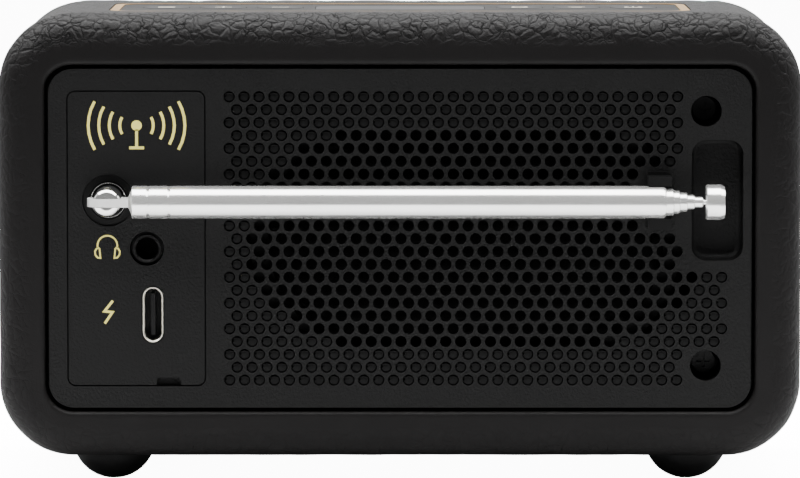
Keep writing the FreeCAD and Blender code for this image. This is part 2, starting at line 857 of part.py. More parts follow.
def aerial_clip():
    """Springy jaws that grip the folded aerial."""
    x0 = x_clip - clip_w / 2
    x1 = x_clip + clip_w / 2
    top = y_aerial + clip_hook
    base = box(x0, x1, y_panel, y_panel + clip_base_t, z_aerial - clip_base_half, z_aerial + clip_base_half)
    peg = box(
        x_clip - clip_peg_w / 2, x_clip + clip_peg_w / 2, y_panel - panel_t, y_panel,
        z_aerial - clip_peg_half, z_aerial + clip_peg_half,
    )
    jaws = box(x0, x1, y_panel + clip_base_t, top, z_aerial - clip_jaw_half, z_aerial + clip_jaw_half)
    grip_r = tube_radii[0] + clip_clear
    lip = math.sqrt(grip_r ** 2 - clip_hook ** 2)
    saddle = rod_x(y_aerial, z_aerial, grip_r, x0 - 1, x1 + 1)
    mouth = box(x0 - 1, x1 + 1, y_aerial + clip_hook / 2, top + 1, z_aerial - lip, z_aerial + lip)
    return fuse([base, peg, jaws]).cut([saddle, mouth])


# ---------------------------------------------------------------- top controls
z_control_top = z_wrap_top - control_sink
z_control_seat = z_control_top - control_t
z_control_back = z_shell_top - shell_wall
z_key_board = z_control_back - key_board_drop
button_names = ["power", "source", "preset", "volume_down", "volume_up", "menu"]


def button_places():
    """Middle of each button along X, from the left end to the right end seen from the front."""
    places = []
    for step in reversed(range(button_count_per_side)):
        places.append(-(button_first + step * button_pitch))
    for step in range(button_count_per_side):
        places.append(button_first + step * button_pitch)
    return places


def control_bezel():
    outer = slab_z(
        control_w + 2 * bezel_w, control_d + 2 * bezel_w, control_corner_r + bezel_w,
        z_shell_top, z_wrap_top - bezel_sink, 0, y_middle,
    )
    top_edges = [e for e in outer.Edges if all(v.Z > z_wrap_top - bezel_sink - 1e-5 for v in e.Vertexes)]
    outer = outer.makeFillet(0.2, top_edges)
    inner = slab_z(control_w, control_d, control_corner_r, z_shell_top - 1, z_top + 1, 0, y_middle)
    return outer.cut(inner)


def control_plate():
    """Plate that carries the buttons and the display window, with four legs for the key board."""
    clear = 2 * control_clear
    upper = slab_z(
        control_w - clear, control_d - clear, control_corner_r - control_clear,
        z_control_seat, z_control_top, 0, y_middle,
    )
    lower = slab_z(
        control_w - 2 * control_ledge - clear, control_d - 2 * control_ledge - clear,
        control_corner_r - control_clear, z_control_back, z_control_seat, 0, y_middle,
    )
    parts = [upper, lower]
    for x in (-button_first / 2 - window_w / 4, button_first / 2 + window_w / 4):
        for y in (y_middle - control_d / 2 + 4.2, y_middle + control_d / 2 - 4.2):
            parts.append(rod_z(x, y, 1.2, z_key_board + key_board_t, z_control_back))
    cuts = [
        slab_z(
            window_w, window_d, window_corner_r, z_control_back - 1, z_top, 0, y_middle
        ),
        slab_z(
            window_w + 2, window_d + 2, window_corner_r + 1, z_control_top - 1.0, z_top, 0, y_middle
        ),
    ]
    for x in button_places():
        cuts.append(rod_z(x, y_middle, button_r + button_clear, z_control_back - 1, z_top))
    return fuse(parts).cut(cuts)


def display_window():
    clear = 2 * control_clear
    return slab_z(
        window_w + 2 - clear, window_d + 2 - clear, window_corner_r + 1 - control_clear,
        z_control_top - 1.0, z_control_top, 0, y_middle,
    )


def display_module():
    """Display cell standing on the key board under the window."""
    return box(
        -window_w / 2 + 1, window_w / 2 - 1, y_middle - window_d / 2 + 1, y_middle + window_d / 2 - 1,
        z_key_board + key_board_t, z_control_top - 1.2,
    )


def button(x):
    """Round key cap with a flange under the plate and a stem over its switch."""
    z_stem = z_key_board + key_board_t + key_switch_h + button_travel + 0.05
    cap = rod_z(x, y_middle, button_r, z_control_back - 0.1, z_control_top + button_proud)
    top_edges = [e for e in cap.Edges if all(v.Z > z_control_top + button_proud - 1e-5 for v in e.Vertexes)]
    cap = cap.makeFillet(0.3, top_edges)
    flange = rod_z(x, y_middle, button_r + button_flange, z_control_back - 0.9, z_control_back - 0.1)
    stem = rod_z(x, y_middle, 1.4, z_stem, z_control_back - 0.9)
    return fuse([cap, flange, stem])


def key_board():
    edge = 2 * control_ledge + 1.0
    return slab_z(
        control_w - edge, control_d - edge, 1.5, z_key_board, z_key_board + key_board_t, 0, y_middle
    )


def key_switches():
    """Six press switches, one under each button."""
    z0 = z_key_board + key_board_t
    switches = []
    for x in button_places():
        body = box(x - 2.6, x + 2.6, y_middle - 2.6, y_middle + 2.6, z0, z0 + key_switch_h - 0.8)
        plunger = rod_z(x, y_middle, 1.3, z0 + key_switch_h - 0.8, z0 + key_switch_h)
        switches.append(fuse([body, plunger]))
    return Part.makeCompound(switches)


# ---------------------------------------------------------------- front
def front_trim_ring():
    y0 = y_front + trim_sink
    y1 = y0 + trim_depth
    w = opening_w - 2 * trim_gap
    h = opening_h - 2 * trim_gap
    r = opening_corner_r - trim_gap
    outer = slab_y(w, h, r, y0, y1, 0, z_panel)
    outer = outer.makeFillet(0.6, edges_at_y(outer, y0))
    return outer.cut(slab_y(w - 2 * trim_w, h - 2 * trim_w, r - trim_w, y0 - 1, y1 + 1, 0, z_panel))


def front_grille():
    """Flat perforated metal sheet inside the trim ring."""
    w = opening_w - 2 * trim_gap - 2 * trim_w - 2 * control_clear
    h = opening_h - 2 * trim_gap - 2 * trim_w - 2 * control_clear
    r = opening_corner_r - trim_gap - trim_w - control_clear
    y0 = y_front + front_grille_sink
    outline = rounded_wire(w, h, r, lambda u, v: vec(u, y0, z_panel + v))
    wires = [outline]
    step = front_hole_pitch * math.sin(math.radians(60))
    rows = int((h / 2 - front_margin) / step)
    columns = int((w / 2 - front_margin) / front_hole_pitch)
    for row in range(-rows, rows + 1):
        shift = front_hole_pitch / 2 if row % 2 else 0.0
        for column in range(-columns, columns + 1):
            x = column * front_hole_pitch + shift
            if abs(x) <= w / 2 - front_margin:
                circle = Part.makeCircle(front_hole_r, vec(x, y0, z_panel + row * step), vec(0, 1, 0))
                wires.append(Part.Wire(circle))
    face = Part.Face(wires, "Part::FaceMakerBullseye")
    return face.extrude(vec(0, front_grille_t, 0))


y_baffle = y_front + trim_sink + trim_depth
y_speaker = y_baffle + baffle_t


def front_baffle():
    """Plate behind the grille that carries the speaker; its four posts take the back screws."""
    plate = slab_y(panel_w, panel_h, panel_corner_r, y_baffle, y_speaker, 0, z_panel)
    skirt = slab_y(panel_w, panel_h, panel_corner_r, y_speaker, y_front_ledge, 0, z_panel).cut(
        slab_y(
            panel_w - 2 * panel_skirt_t, panel_h - 2 * panel_skirt_t, panel_corner_r - panel_skirt_t,
            y_speaker - 1, y_front_ledge + 1, 0, z_panel,
        )
    )
    parts = [plate, skirt]
    cuts = [rod_y(0, z_panel, surround_out_r + 0.4, y_baffle - 1, y_speaker + 1)]
    post_end = y_panel - well_depth - well_seat_t
    for x, z in well_places():
        parts.append(rod_y(x, z, post_r, y_speaker, post_end))
        cuts.append(rod_y(x, z, pilot_r, post_end - 12, post_end + 1))
    for x, z in speaker_screw_places():
        cuts.append(rod_y(x, z, pilot_r * 0.8, y_baffle + 0.6, y_speaker + 1))
    return fuse(parts).cut(cuts)


# ---------------------------------------------------------------- speaker
def speaker_screw_places():
    places = []
    for turn in (45, 135, 225, 315):
        angle = math.radians(turn)
        x = speaker_screw_reach * math.cos(angle)
        places.append((x, z_panel + speaker_screw_reach * math.sin(angle)))
    return places


y_plate = y_speaker + basket_depth
y_magnet = y_plate + plate_t
y_back_plate = y_magnet + magnet_t


def speaker_basket():
    """Pressed frame: flange, sloping wall with four windows, and the seat of the top plate."""
    y0 = y_speaker
    wall = 0.8
    profile = [
        (y0, surround_out_r), (y0, speaker_r), (y0 + speaker_flange_t, speaker_r),
        (y0 + speaker_flange_t, surround_out_r + wall + 0.6), (y_plate - 1.0, magnet_r - 0.5),
        (y_plate, magnet_r - 0.5), (y_plate, coil_r + 2.5), (y_plate - 1.0, coil_r + 2.5),
        (y_plate - 1.0, magnet_r - 0.5 - wall), (y0 + speaker_flange_t, surround_out_r + 0.4),
    ]
    basket = turned_y(profile, 0, z_panel)
    cuts = []
    for x, z in speaker_screw_places():
        cuts.append(rod_y(x, z, screw_r + 0.1, y0 - 1, y0 + 3))
    for turn in range(0, 360, 90):
        window = box(-3.5, 3.5, y0 + 3.0, y_plate - 2.5, 10, speaker_r + 1)
        window.rotate(vec(0, 0, 0), vec(0, 1, 0), turn)
        window.translate(vec(0, 0, z_panel))
        cuts.append(window)
    return basket.cut(cuts)


def speaker_magnet():
    """Top plate, ring magnet, back plate and pole as one bonded motor."""
    bore = coil_r + coil_t + gap_side
    pole = coil_r - gap_side
    ring = rod_y(0, z_panel, magnet_r, y_plate, y_back_plate).cut(
        rod_y(0, z_panel, bore, y_plate - 1, y_back_plate + 1)
    )
    back = rod_y(0, z_panel, magnet_r, y_back_plate, y_back_plate + plate_t)
    centre = rod_y(0, z_panel, pole, y_plate, y_back_plate)
    return fuse([ring, back, centre])


def speaker_surround():
    """Rubber half roll between the cone and the basket."""
    mid = (surround_in_r + surround_out_r) / 2
    half = (surround_out_r - surround_in_r) / 2
    y0 = y_speaker + speaker_flange_t
    outer = [(y0, surround_in_r - 0.8)]
    inner = [(y0 + 0.4, surround_in_r - 0.8)]
    for step in range(0, 9):
        angle = math.radians(180 - step * 22.5)
        outer.append((y0 - half * math.sin(angle), mid + half * math.cos(angle)))
        inner.append((y0 + 0.4 - half * math.sin(angle), mid + (half - 0.4) * math.cos(angle)))
    outer.append((y0, surround_out_r + 0.3))
    inner.append((y0 + 0.4, surround_out_r + 0.3))
    return turned_y(outer + inner[::-1], 0, z_panel)


def speaker_cone():
    y0 = y_speaker + speaker_flange_t + 0.45
    back = y0 + cone_depth
    profile = [
        (y0, surround_in_r), (y0 + cone_t, surround_in_r), (back, cone_back_r + coil_t + cone_t),
        (back, cone_back_r + coil_t), (y0 + cone_t, surround_in_r - 1.2), (y0, surround_in_r - 1.2),
    ]
    return turned_y(profile, 0, z_panel)


def dust_cap():
    y0 = y_speaker + speaker_flange_t + 0.45 + cone_depth - 1.5
    reach = 8.0
    outer = []
    inner = []
    for step in range(0, 6):
        share = step / 5
        radius = reach * share
        sag = 2.4 * (1 - share ** 2)
        outer.append((y0 - sag, radius))
        inner.append((y0 + 0.35 - sag, radius))
    return turned_y(outer + inner[::-1], 0, z_panel)


def voice_coil():
    y0 = y_speaker + speaker_flange_t + 0.45 + cone_depth
    return rod_y(0, z_panel, coil_r + coil_t, y0 - 0.9, y_plate + plate_t + 1.5).cut(
        rod_y(0, z_panel, coil_r, y0 - 2, y_back_plate)
    )


# ---------------------------------------------------------------- passive radiator
y_radiator = y_panel - panel_t - 0.2


def racetrack(inset, y0, y1):
    return slab_y(
        radiator_w - 2 * inset, radiator_h - 2 * inset, radiator_h / 2 - inset - 0.01, y0, y1,
        x_radiator, z_panel,
    )


def radiator_frame():
    y0 = y_radiator - radiator_frame_t
    return racetrack(0, y0, y_radiator).cut(racetrack(radiator_frame_w, y0 - 1, y_radiator + 1))


def radiator_surround():
    """Rubber roll round the radiator's disc, bulging inwards."""
    y1 = y_radiator - radiator_frame_t + 1.0
    y0 = y1 - 0.5
    inner = radiator_frame_w + radiator_roll_w
    flat = racetrack(radiator_frame_w, y0, y1).cut(racetrack(inner, y0 - 1, y1 + 1))
    lift = racetrack(radiator_frame_w + 1.2, y0 - 1.2, y0).cut(racetrack(inner - 1.2, y0 - 3, y1 + 1))
    hollow = racetrack(radiator_frame_w + 1.7, y0 - 0.7, y1 + 1).cut(racetrack(inner - 1.7, y0 - 3, y1 + 2))
    return fuse([flat, lift]).cut(hollow)


def radiator_disc():
    y1 = y_radiator - radiator_frame_t + 1.0
    inset = radiator_frame_w + radiator_roll_w
    return racetrack(inset, y1 - 0.5 - radiator_disc_t, y1)


# ---------------------------------------------------------------- boards, battery, leads
z_board = z_inside_floor + board_up
x_board = 4.0
y_board = y_middle + 1.0
x_battery = -case_width / 2 + battery_from_side
y_battery = y_middle - 2.0
z_battery = z_board + board_t + 3.5


def main_board():
    """Main circuit board on four pillars that stand on the cabinet floor, with its larger parts."""
    x0 = x_board - board_w / 2
    x1 = x_board + board_w / 2
    y0 = y_board - board_d / 2
    y1 = y_board + board_d / 2
    board = box(x0, x1, y0, y1, z_board, z_board + board_t)
    chip = box(x0 + 44, x0 + 54, y0 + 10, y0 + 20, z_board + board_t, z_board + board_t + 1.4)
    coil = rod_z(x0 + 62, y0 + 8, 3.0, z_board + board_t, z_board + board_t + 3.0)
    plug = box(x0 + 30, x0 + 38, y0 + 2, y0 + 6, z_board + board_t, z_board + board_t + 4.0)
    cuts = [rod_z(x, y, screw_r + 0.2, z_board - 1, z_board + board_t + 1) for x, y in board_screw_places()]
    return fuse([board, chip, coil, plug]).cut(cuts)


def board_screw_places():
    xs = (x_board - board_w / 2 + 3, x_board + board_w / 2 - 3)
    ys = (y_board - board_d / 2 + 3, y_board + board_d / 2 - 3)
    return [(x, y) for x in xs for y in ys]


def board_pillars():
    pillars = []
    for x, y in board_screw_places():
        pillar = rod_z(x, y, 2.4, z_inside_floor, z_board)
        pillars.append(pillar.cut(rod_z(x, y, screw_r, z_inside_floor + 0.8, z_board + 1)))
    return Part.makeCompound(pillars)


def board_screws():
    z0 = z_board + board_t
    screws = []
    for x, y in board_screw_places():
        shank = rod_z(x, y, screw_r, z_inside_floor + 1.0, z0)
        screws.append(fuse([shank, rod_z(x, y, screw_head_r, z0, z0 + screw_head_t)]))
    return Part.makeCompound(screws)


def shield_can():
    x0 = x_board - board_w / 2 + 8
    y0 = y_board - board_d / 2 + 8
    z0 = z_board + board_t
    can = slab_z(18, 16, 0.8, z0, z0 + 3.0, x0 + 9, y0 + 8)
    return can.cut(slab_z(17.4, 15.4, 0.5, z0 - 1, z0 + 2.7, x0 + 9, y0 + 8))


def battery_tray():
    clear = 0.2
    w = battery_t + 2 * (clear + tray_wall)
    d = battery_d + 2 * (clear + tray_wall)
    z0 = z_battery - tray_wall
    tray = slab_z(w, d, 1.5, z0, z0 + tray_h, x_battery, y_battery)
    hollow = slab_z(
        battery_t + 2 * clear, battery_d + 2 * clear, 0.5, z_battery, z0 + tray_h + 1, x_battery, y_battery
    )
    legs = [
        rod_z(x_battery, y_battery + side * battery_d / 3, 2.0, z_inside_floor, z0) for side in (-1, 1)
    ]
    return fuse([tray] + legs).cut(hollow)


def battery_cell():
    cell = slab_z(
        battery_t, battery_d, 2.0, z_battery, z_battery + battery_h, x_battery, y_battery
    )
    return cell


def back_screws():
    """Four long screws through the wells into the baffle's posts."""
    seat = y_panel - well_depth
    screws = []
    for x, z in well_places():
        head = rod_y(x, z, screw_head_r, seat, seat + screw_head_t)
        cross = fuse([
            box(x - 1.1, x + 1.1, seat + 0.5, seat + 2, z - 0.22, z + 0.22),
            box(x - 0.22, x + 0.22, seat + 0.5, seat + 2, z - 1.1, z + 1.1),
        ])
        shank = rod_y(x, z, screw_r, seat - 12, seat)
        screws.append(fuse([head, shank]).cut(cross))
    return Part.makeCompound(screws)


def speaker_screws():
    y0 = y_speaker + speaker_flange_t
    screws = []
    for x, z in speaker_screw_places():
        shank = rod_y(x, z, pilot_r * 0.8, y_baffle + 0.8, y0)
        screws.append(fuse([shank, rod_y(x, z, screw_head_r - 0.3, y0, y0 + 0.9)]))
    return Part.makeCompound(screws)


def aerial_lead():
    """From the tag under the turret's nut, down past the socket board to the main board."""
    x0 = x_turret
    y0 = y_rear_ledge - 1.4
    y1 = y0 - 14
    x1 = x_board + board_w / 2
    return lead("aerial_lead", [
        vec(x0, y0, z_aerial - 2.3), vec(x0, y0 - 1, z_aerial - 6), vec(x0, y1 + 6, z_aerial - 10),
        vec(x0 - 1, y1 + 2, z_aerial - 18), vec(x0 - 5, y1, z_aerial - 25),
        vec(x1 - 5, y1, z_board + board_t + 4), vec(x1 - 12, y1, z_board + board_t + 3),
        vec(x1 - 15, y1, z_board + board_t),
    ])


def speaker_lead():
    """From the basket's edge to the plug on the main board."""
    z0 = z_panel - magnet_r
    x0 = x_board - board_w / 2 + 34
    y0 = y_board - board_d / 2 + 4
    return lead("speaker_lead", [
        vec(2, y_plate + 4, z0), vec(1.5, y_plate + 5, z0 - 3), vec(x0 + 1, y0 + 1, z_board + board_t + 8),
        vec(x0, y0, z_board + board_t + 4),
    ])


def battery_lead():
    """From the top of the cell, over its end and down to the main board."""
    top = z_battery + battery_h
    x1 = x_battery + 8.5
    y1 = y_board + 12
    return lead("battery_lead", [
        vec(x_battery, y_battery + 6, top), vec(x_battery + 1, y_battery + 7, top + 3),
        vec(x1 - 2, y_battery + 9, top + 2), vec(x1, y_battery + 11, top - 5),
        vec(x1 - 1, y1, top - 17), vec(x1, y1, top - 29),
        vec(x1 - 0.5, y1, top - 38), vec(x1 + 0.5, y1, z_board + board_t),
    ])


def parts():
    made = {
        "cabinet_shell": cabinet_shell(),
        "leather_wrap": leather_wrap(),
        "rear_leather_cover": end_cover(True),
        "front_leather_cover": end_cover(False),
        "rubber_feet": rubber_feet(),
        "back_panel": back_panel(),
        "rear_grille": rear_grille(),
        "socket_panel": socket_panel(),
        "headphone_jack": headphone_jack(),
        "usb_shell": usb_shell(),
        "usb_tongue": usb_tongue(),
        "socket_board": socket_board(),
        "aerial_clip": aerial_clip(),
        "turret_collar": turret_collar(),
        "aerial_turret": aerial_turret(),
        "turret_nut": turret_nut(),
        "hinge_pin": hinge_pin(),
        "aerial_base_fitting": aerial_base_fitting(),
        "aerial_rod": aerial_rod(),
        "aerial_tip": aerial_tip(),
        "control_bezel": control_bezel(),
        "control_plate": control_plate(),
        "display_window": display_window(),
        "display_module": display_module(),
        "key_board": key_board(),
        "key_switches": key_switches(),
        "front_trim_ring": front_trim_ring(),
        "front_grille": front_grille(),
        "front_baffle": front_baffle(),
        "speaker_basket": speaker_basket(),
        "speaker_magnet": speaker_magnet(),
        "speaker_surround": speaker_surround(),
        "speaker_cone": speaker_cone(),
        "dust_cap": dust_cap(),
        "voice_coil": voice_coil(),
        "speaker_screws": speaker_screws(),
        "radiator_frame": radiator_frame(),
        "radiator_surround": radiator_surround(),
        "radiator_disc": radiator_disc(),
        "main_board": main_board(),
        "board_pillars": board_pillars(),
        "board_screws": board_screws(),
        "shield_can": shield_can(),
        "battery_tray": battery_tray(),
        "battery_cell": battery_cell(),
        "back_screws": back_screws(),
        "aerial_lead": aerial_lead(),
        "speaker_lead": speaker_lead(),
        "battery_lead": battery_lead(),
    }
    for number in range(1, 6):
        made[f"aerial_tube_{number}"] = aerial_tube(number)
    for name, x in zip(button_names, button_places()):
        made[f"button_{name}"] = button(x)
    return made


def main():
    os.makedirs("parts", exist_ok=True)
    made = parts()
    for name, shape in made.items():
        if not shape.isValid():
            print("NOT VALID", name)
        shape.exportStep(f"parts/{name}.step")
    print(len(made), "nodes; overall depth", round(overall_depth, 3), "height", round(z_top, 3))


main()
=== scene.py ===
"""Looks of a palm-size radio in a leather-covered cabinet, with a telescopic aerial on its back."""

import logging
import math
from dataclasses import dataclass
from enum import Enum
from typing import Callable, Sequence, Union

import bpy
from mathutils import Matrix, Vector, noise


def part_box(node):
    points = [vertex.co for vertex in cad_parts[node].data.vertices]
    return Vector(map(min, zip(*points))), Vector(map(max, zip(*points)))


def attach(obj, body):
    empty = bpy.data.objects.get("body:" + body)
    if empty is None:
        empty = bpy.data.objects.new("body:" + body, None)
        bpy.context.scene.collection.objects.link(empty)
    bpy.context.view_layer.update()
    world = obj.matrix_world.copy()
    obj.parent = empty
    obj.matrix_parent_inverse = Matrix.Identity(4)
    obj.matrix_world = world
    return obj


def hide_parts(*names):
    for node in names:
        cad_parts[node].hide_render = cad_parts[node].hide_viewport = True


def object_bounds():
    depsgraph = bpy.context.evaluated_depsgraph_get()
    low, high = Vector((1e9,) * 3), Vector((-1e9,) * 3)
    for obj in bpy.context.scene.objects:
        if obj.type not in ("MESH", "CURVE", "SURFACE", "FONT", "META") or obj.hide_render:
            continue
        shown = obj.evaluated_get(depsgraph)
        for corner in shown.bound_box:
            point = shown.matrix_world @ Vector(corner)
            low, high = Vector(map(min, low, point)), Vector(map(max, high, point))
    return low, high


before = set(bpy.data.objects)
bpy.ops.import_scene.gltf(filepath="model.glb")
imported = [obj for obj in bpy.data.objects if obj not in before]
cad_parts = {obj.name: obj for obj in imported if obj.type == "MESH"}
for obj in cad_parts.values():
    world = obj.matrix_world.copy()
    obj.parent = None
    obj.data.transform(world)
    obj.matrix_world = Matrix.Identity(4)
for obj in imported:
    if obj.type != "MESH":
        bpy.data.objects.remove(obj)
CAD_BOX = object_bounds()

log = logging.getLogger("radio")
MM = 0.001
Point = tuple[float, float, float]
Outline = list[tuple[float, float]]


class End(Enum):
    """Which end of the cabinet a piece belongs to, as its direction along Y."""

    FRONT = -1
    REAR = 1


# ---------------------------------------------------------------- colour and nodes


def linear(code: str) -> tuple[float, float, float, float]:
    """Turn an sRGB hex colour into linear RGBA.

    Args:
        code: Colour such as "#1A1A1A".

    Returns:
        Four linear numbers, the last one 1.
    """
    values = [int(code[i : i + 2], 16) / 255 for i in (1, 3, 5)]
    red, green, blue = [v / 12.92 if v <= 0.04045 else ((v + 0.055) / 1.055) ** 2.4 for v in values]
    return red, green, blue, 1.0


def add_node(tree: bpy.types.NodeTree, kind: str, settings: dict, inputs: dict) -> bpy.types.Node:
    """Add a node with its settings and links.

    Args:
        tree: Node tree to add to.
        kind: Node type without its "ShaderNode" prefix.
        settings: Properties of the node.
        inputs: Value or output socket for each input, by name or number.

    Returns:
        The new node.
    """
    made = tree.nodes.new("ShaderNode" + kind)
    for key, value in settings.items():
        setattr(made, key, value)
    for key, value in inputs.items():
        if isinstance(value, bpy.types.NodeSocket):
            tree.links.new(value, made.inputs[key])
        else:
            made.inputs[key].default_value = value
    return made


# ---------------------------------------------------------------- finishes


@dataclass(frozen=True)
class Finish:
    """A material of one colour and gloss, with a fine moulded or worn surface.

    Attributes:
        name: Name of the real material.
        colour: Base colour, sRGB hex.
        metallic: 1 for bare metal.
        roughness: Middle roughness.
        ior: Index of refraction.
        shine: Specular level; 0.5 is the plain level for the index of refraction.
        grit: Size of the surface's texture, in mm.
        relief: Depth of the surface's texture, in mm.
        stretch: How many times longer the texture is along X.
        mottle: Share by which the colour and roughness vary.
    """

    name: str
    colour: str
    metallic: float = 0.0
    roughness: float = 0.5
    ior: float = 1.5
    shine: float = 0.5
    grit: float = 0.4
    relief: float = 0.01
    stretch: float = 1.0
    mottle: float = 0.15

    def make(self) -> bpy.types.Material:
        """Build the material, or give the one already built.

        Returns:
            The material of this finish.
        """
        found = bpy.data.materials.get(self.name)
        if found:
            return found
        material = bpy.data.materials.new(self.name)
        material.use_nodes = True
        tree = material.node_tree
        shader = tree.nodes["Principled BSDF"]
        shader.inputs["Metallic"].default_value = self.metallic
        if not self.metallic:
            shader.inputs["IOR"].default_value = self.ior
            shader.inputs["Specular IOR Level"].default_value = self.shine
        place = add_node(tree, "TexCoord", {}, {}).outputs["Object"]
        scale = add_node(tree, "Mapping", {}, {"Vector": place, "Scale": (1000.0, 1000.0, 1000.0)})
        self.surface(tree, shader, scale.outputs["Vector"])
        return material

    def surface(self, tree: bpy.types.NodeTree, shader: bpy.types.Node, place: bpy.types.NodeSocket) -> None:
        """Add colour, gloss and relief.

        Args:
            tree: The material's node tree.
            shader: Its Principled shader.
            place: Position on the piece, in mm.
        """
        cloud = add_node(tree, "TexNoise", {}, {"Vector": place, "Scale": 0.12, "Detail": 4.0})
        self.tint(tree, shader, cloud.outputs["Fac"])
        drawn = add_node(tree, "Mapping", {}, {"Vector": place, "Scale": (1 / self.stretch, 1.0, 1.0)})
        fine = add_node(
            tree, "TexNoise", {}, {"Vector": drawn.outputs["Vector"], "Scale": 1 / self.grit, "Detail": 2.0}
        )
        self.emboss(tree, shader, fine.outputs["Fac"], self.relief)

    def tint(self, tree: bpy.types.NodeTree, shader: bpy.types.Node, share: bpy.types.NodeSocket) -> None:
        """Vary the colour and the roughness a little with share.

        Args:
            tree: The material's node tree.
            shader: Its Principled shader.
            share: Value from 0 to 1 over the surface.
        """
        base = linear(self.colour)
        dark = tuple(v * (1 - self.mottle) for v in base[:3]) + (1.0,)
        light = tuple(min(1.0, v * (1 + self.mottle)) for v in base[:3]) + (1.0,)
        blend = add_node(tree, "Mix", {"data_type": "RGBA"}, {0: share, 6: dark, 7: light})
        tree.links.new(blend.outputs[2], shader.inputs["Base Color"])
        gloss = add_node(
            tree, "MapRange", {},
            {"Value": share, "To Min": self.roughness * (1 - self.mottle), "To Max": self.roughness * (1 + self.mottle)},
        )
        tree.links.new(gloss.outputs["Result"], shader.inputs["Roughness"])

    def emboss(
        self, tree: bpy.types.NodeTree, shader: bpy.types.Node, height: bpy.types.NodeSocket, depth: float
    ) -> None:
        """Give the surface a relief.

        Args:
            tree: The material's node tree.
            shader: Its Principled shader.
            height: Height over the surface, 0 to 1.
            depth: Depth of the relief in mm.
        """
        bump = add_node(tree, "Bump", {}, {"Height": height, "Distance": depth * MM, "Strength": 1.0})
        tree.links.new(bump.outputs["Normal"], shader.inputs["Normal"])


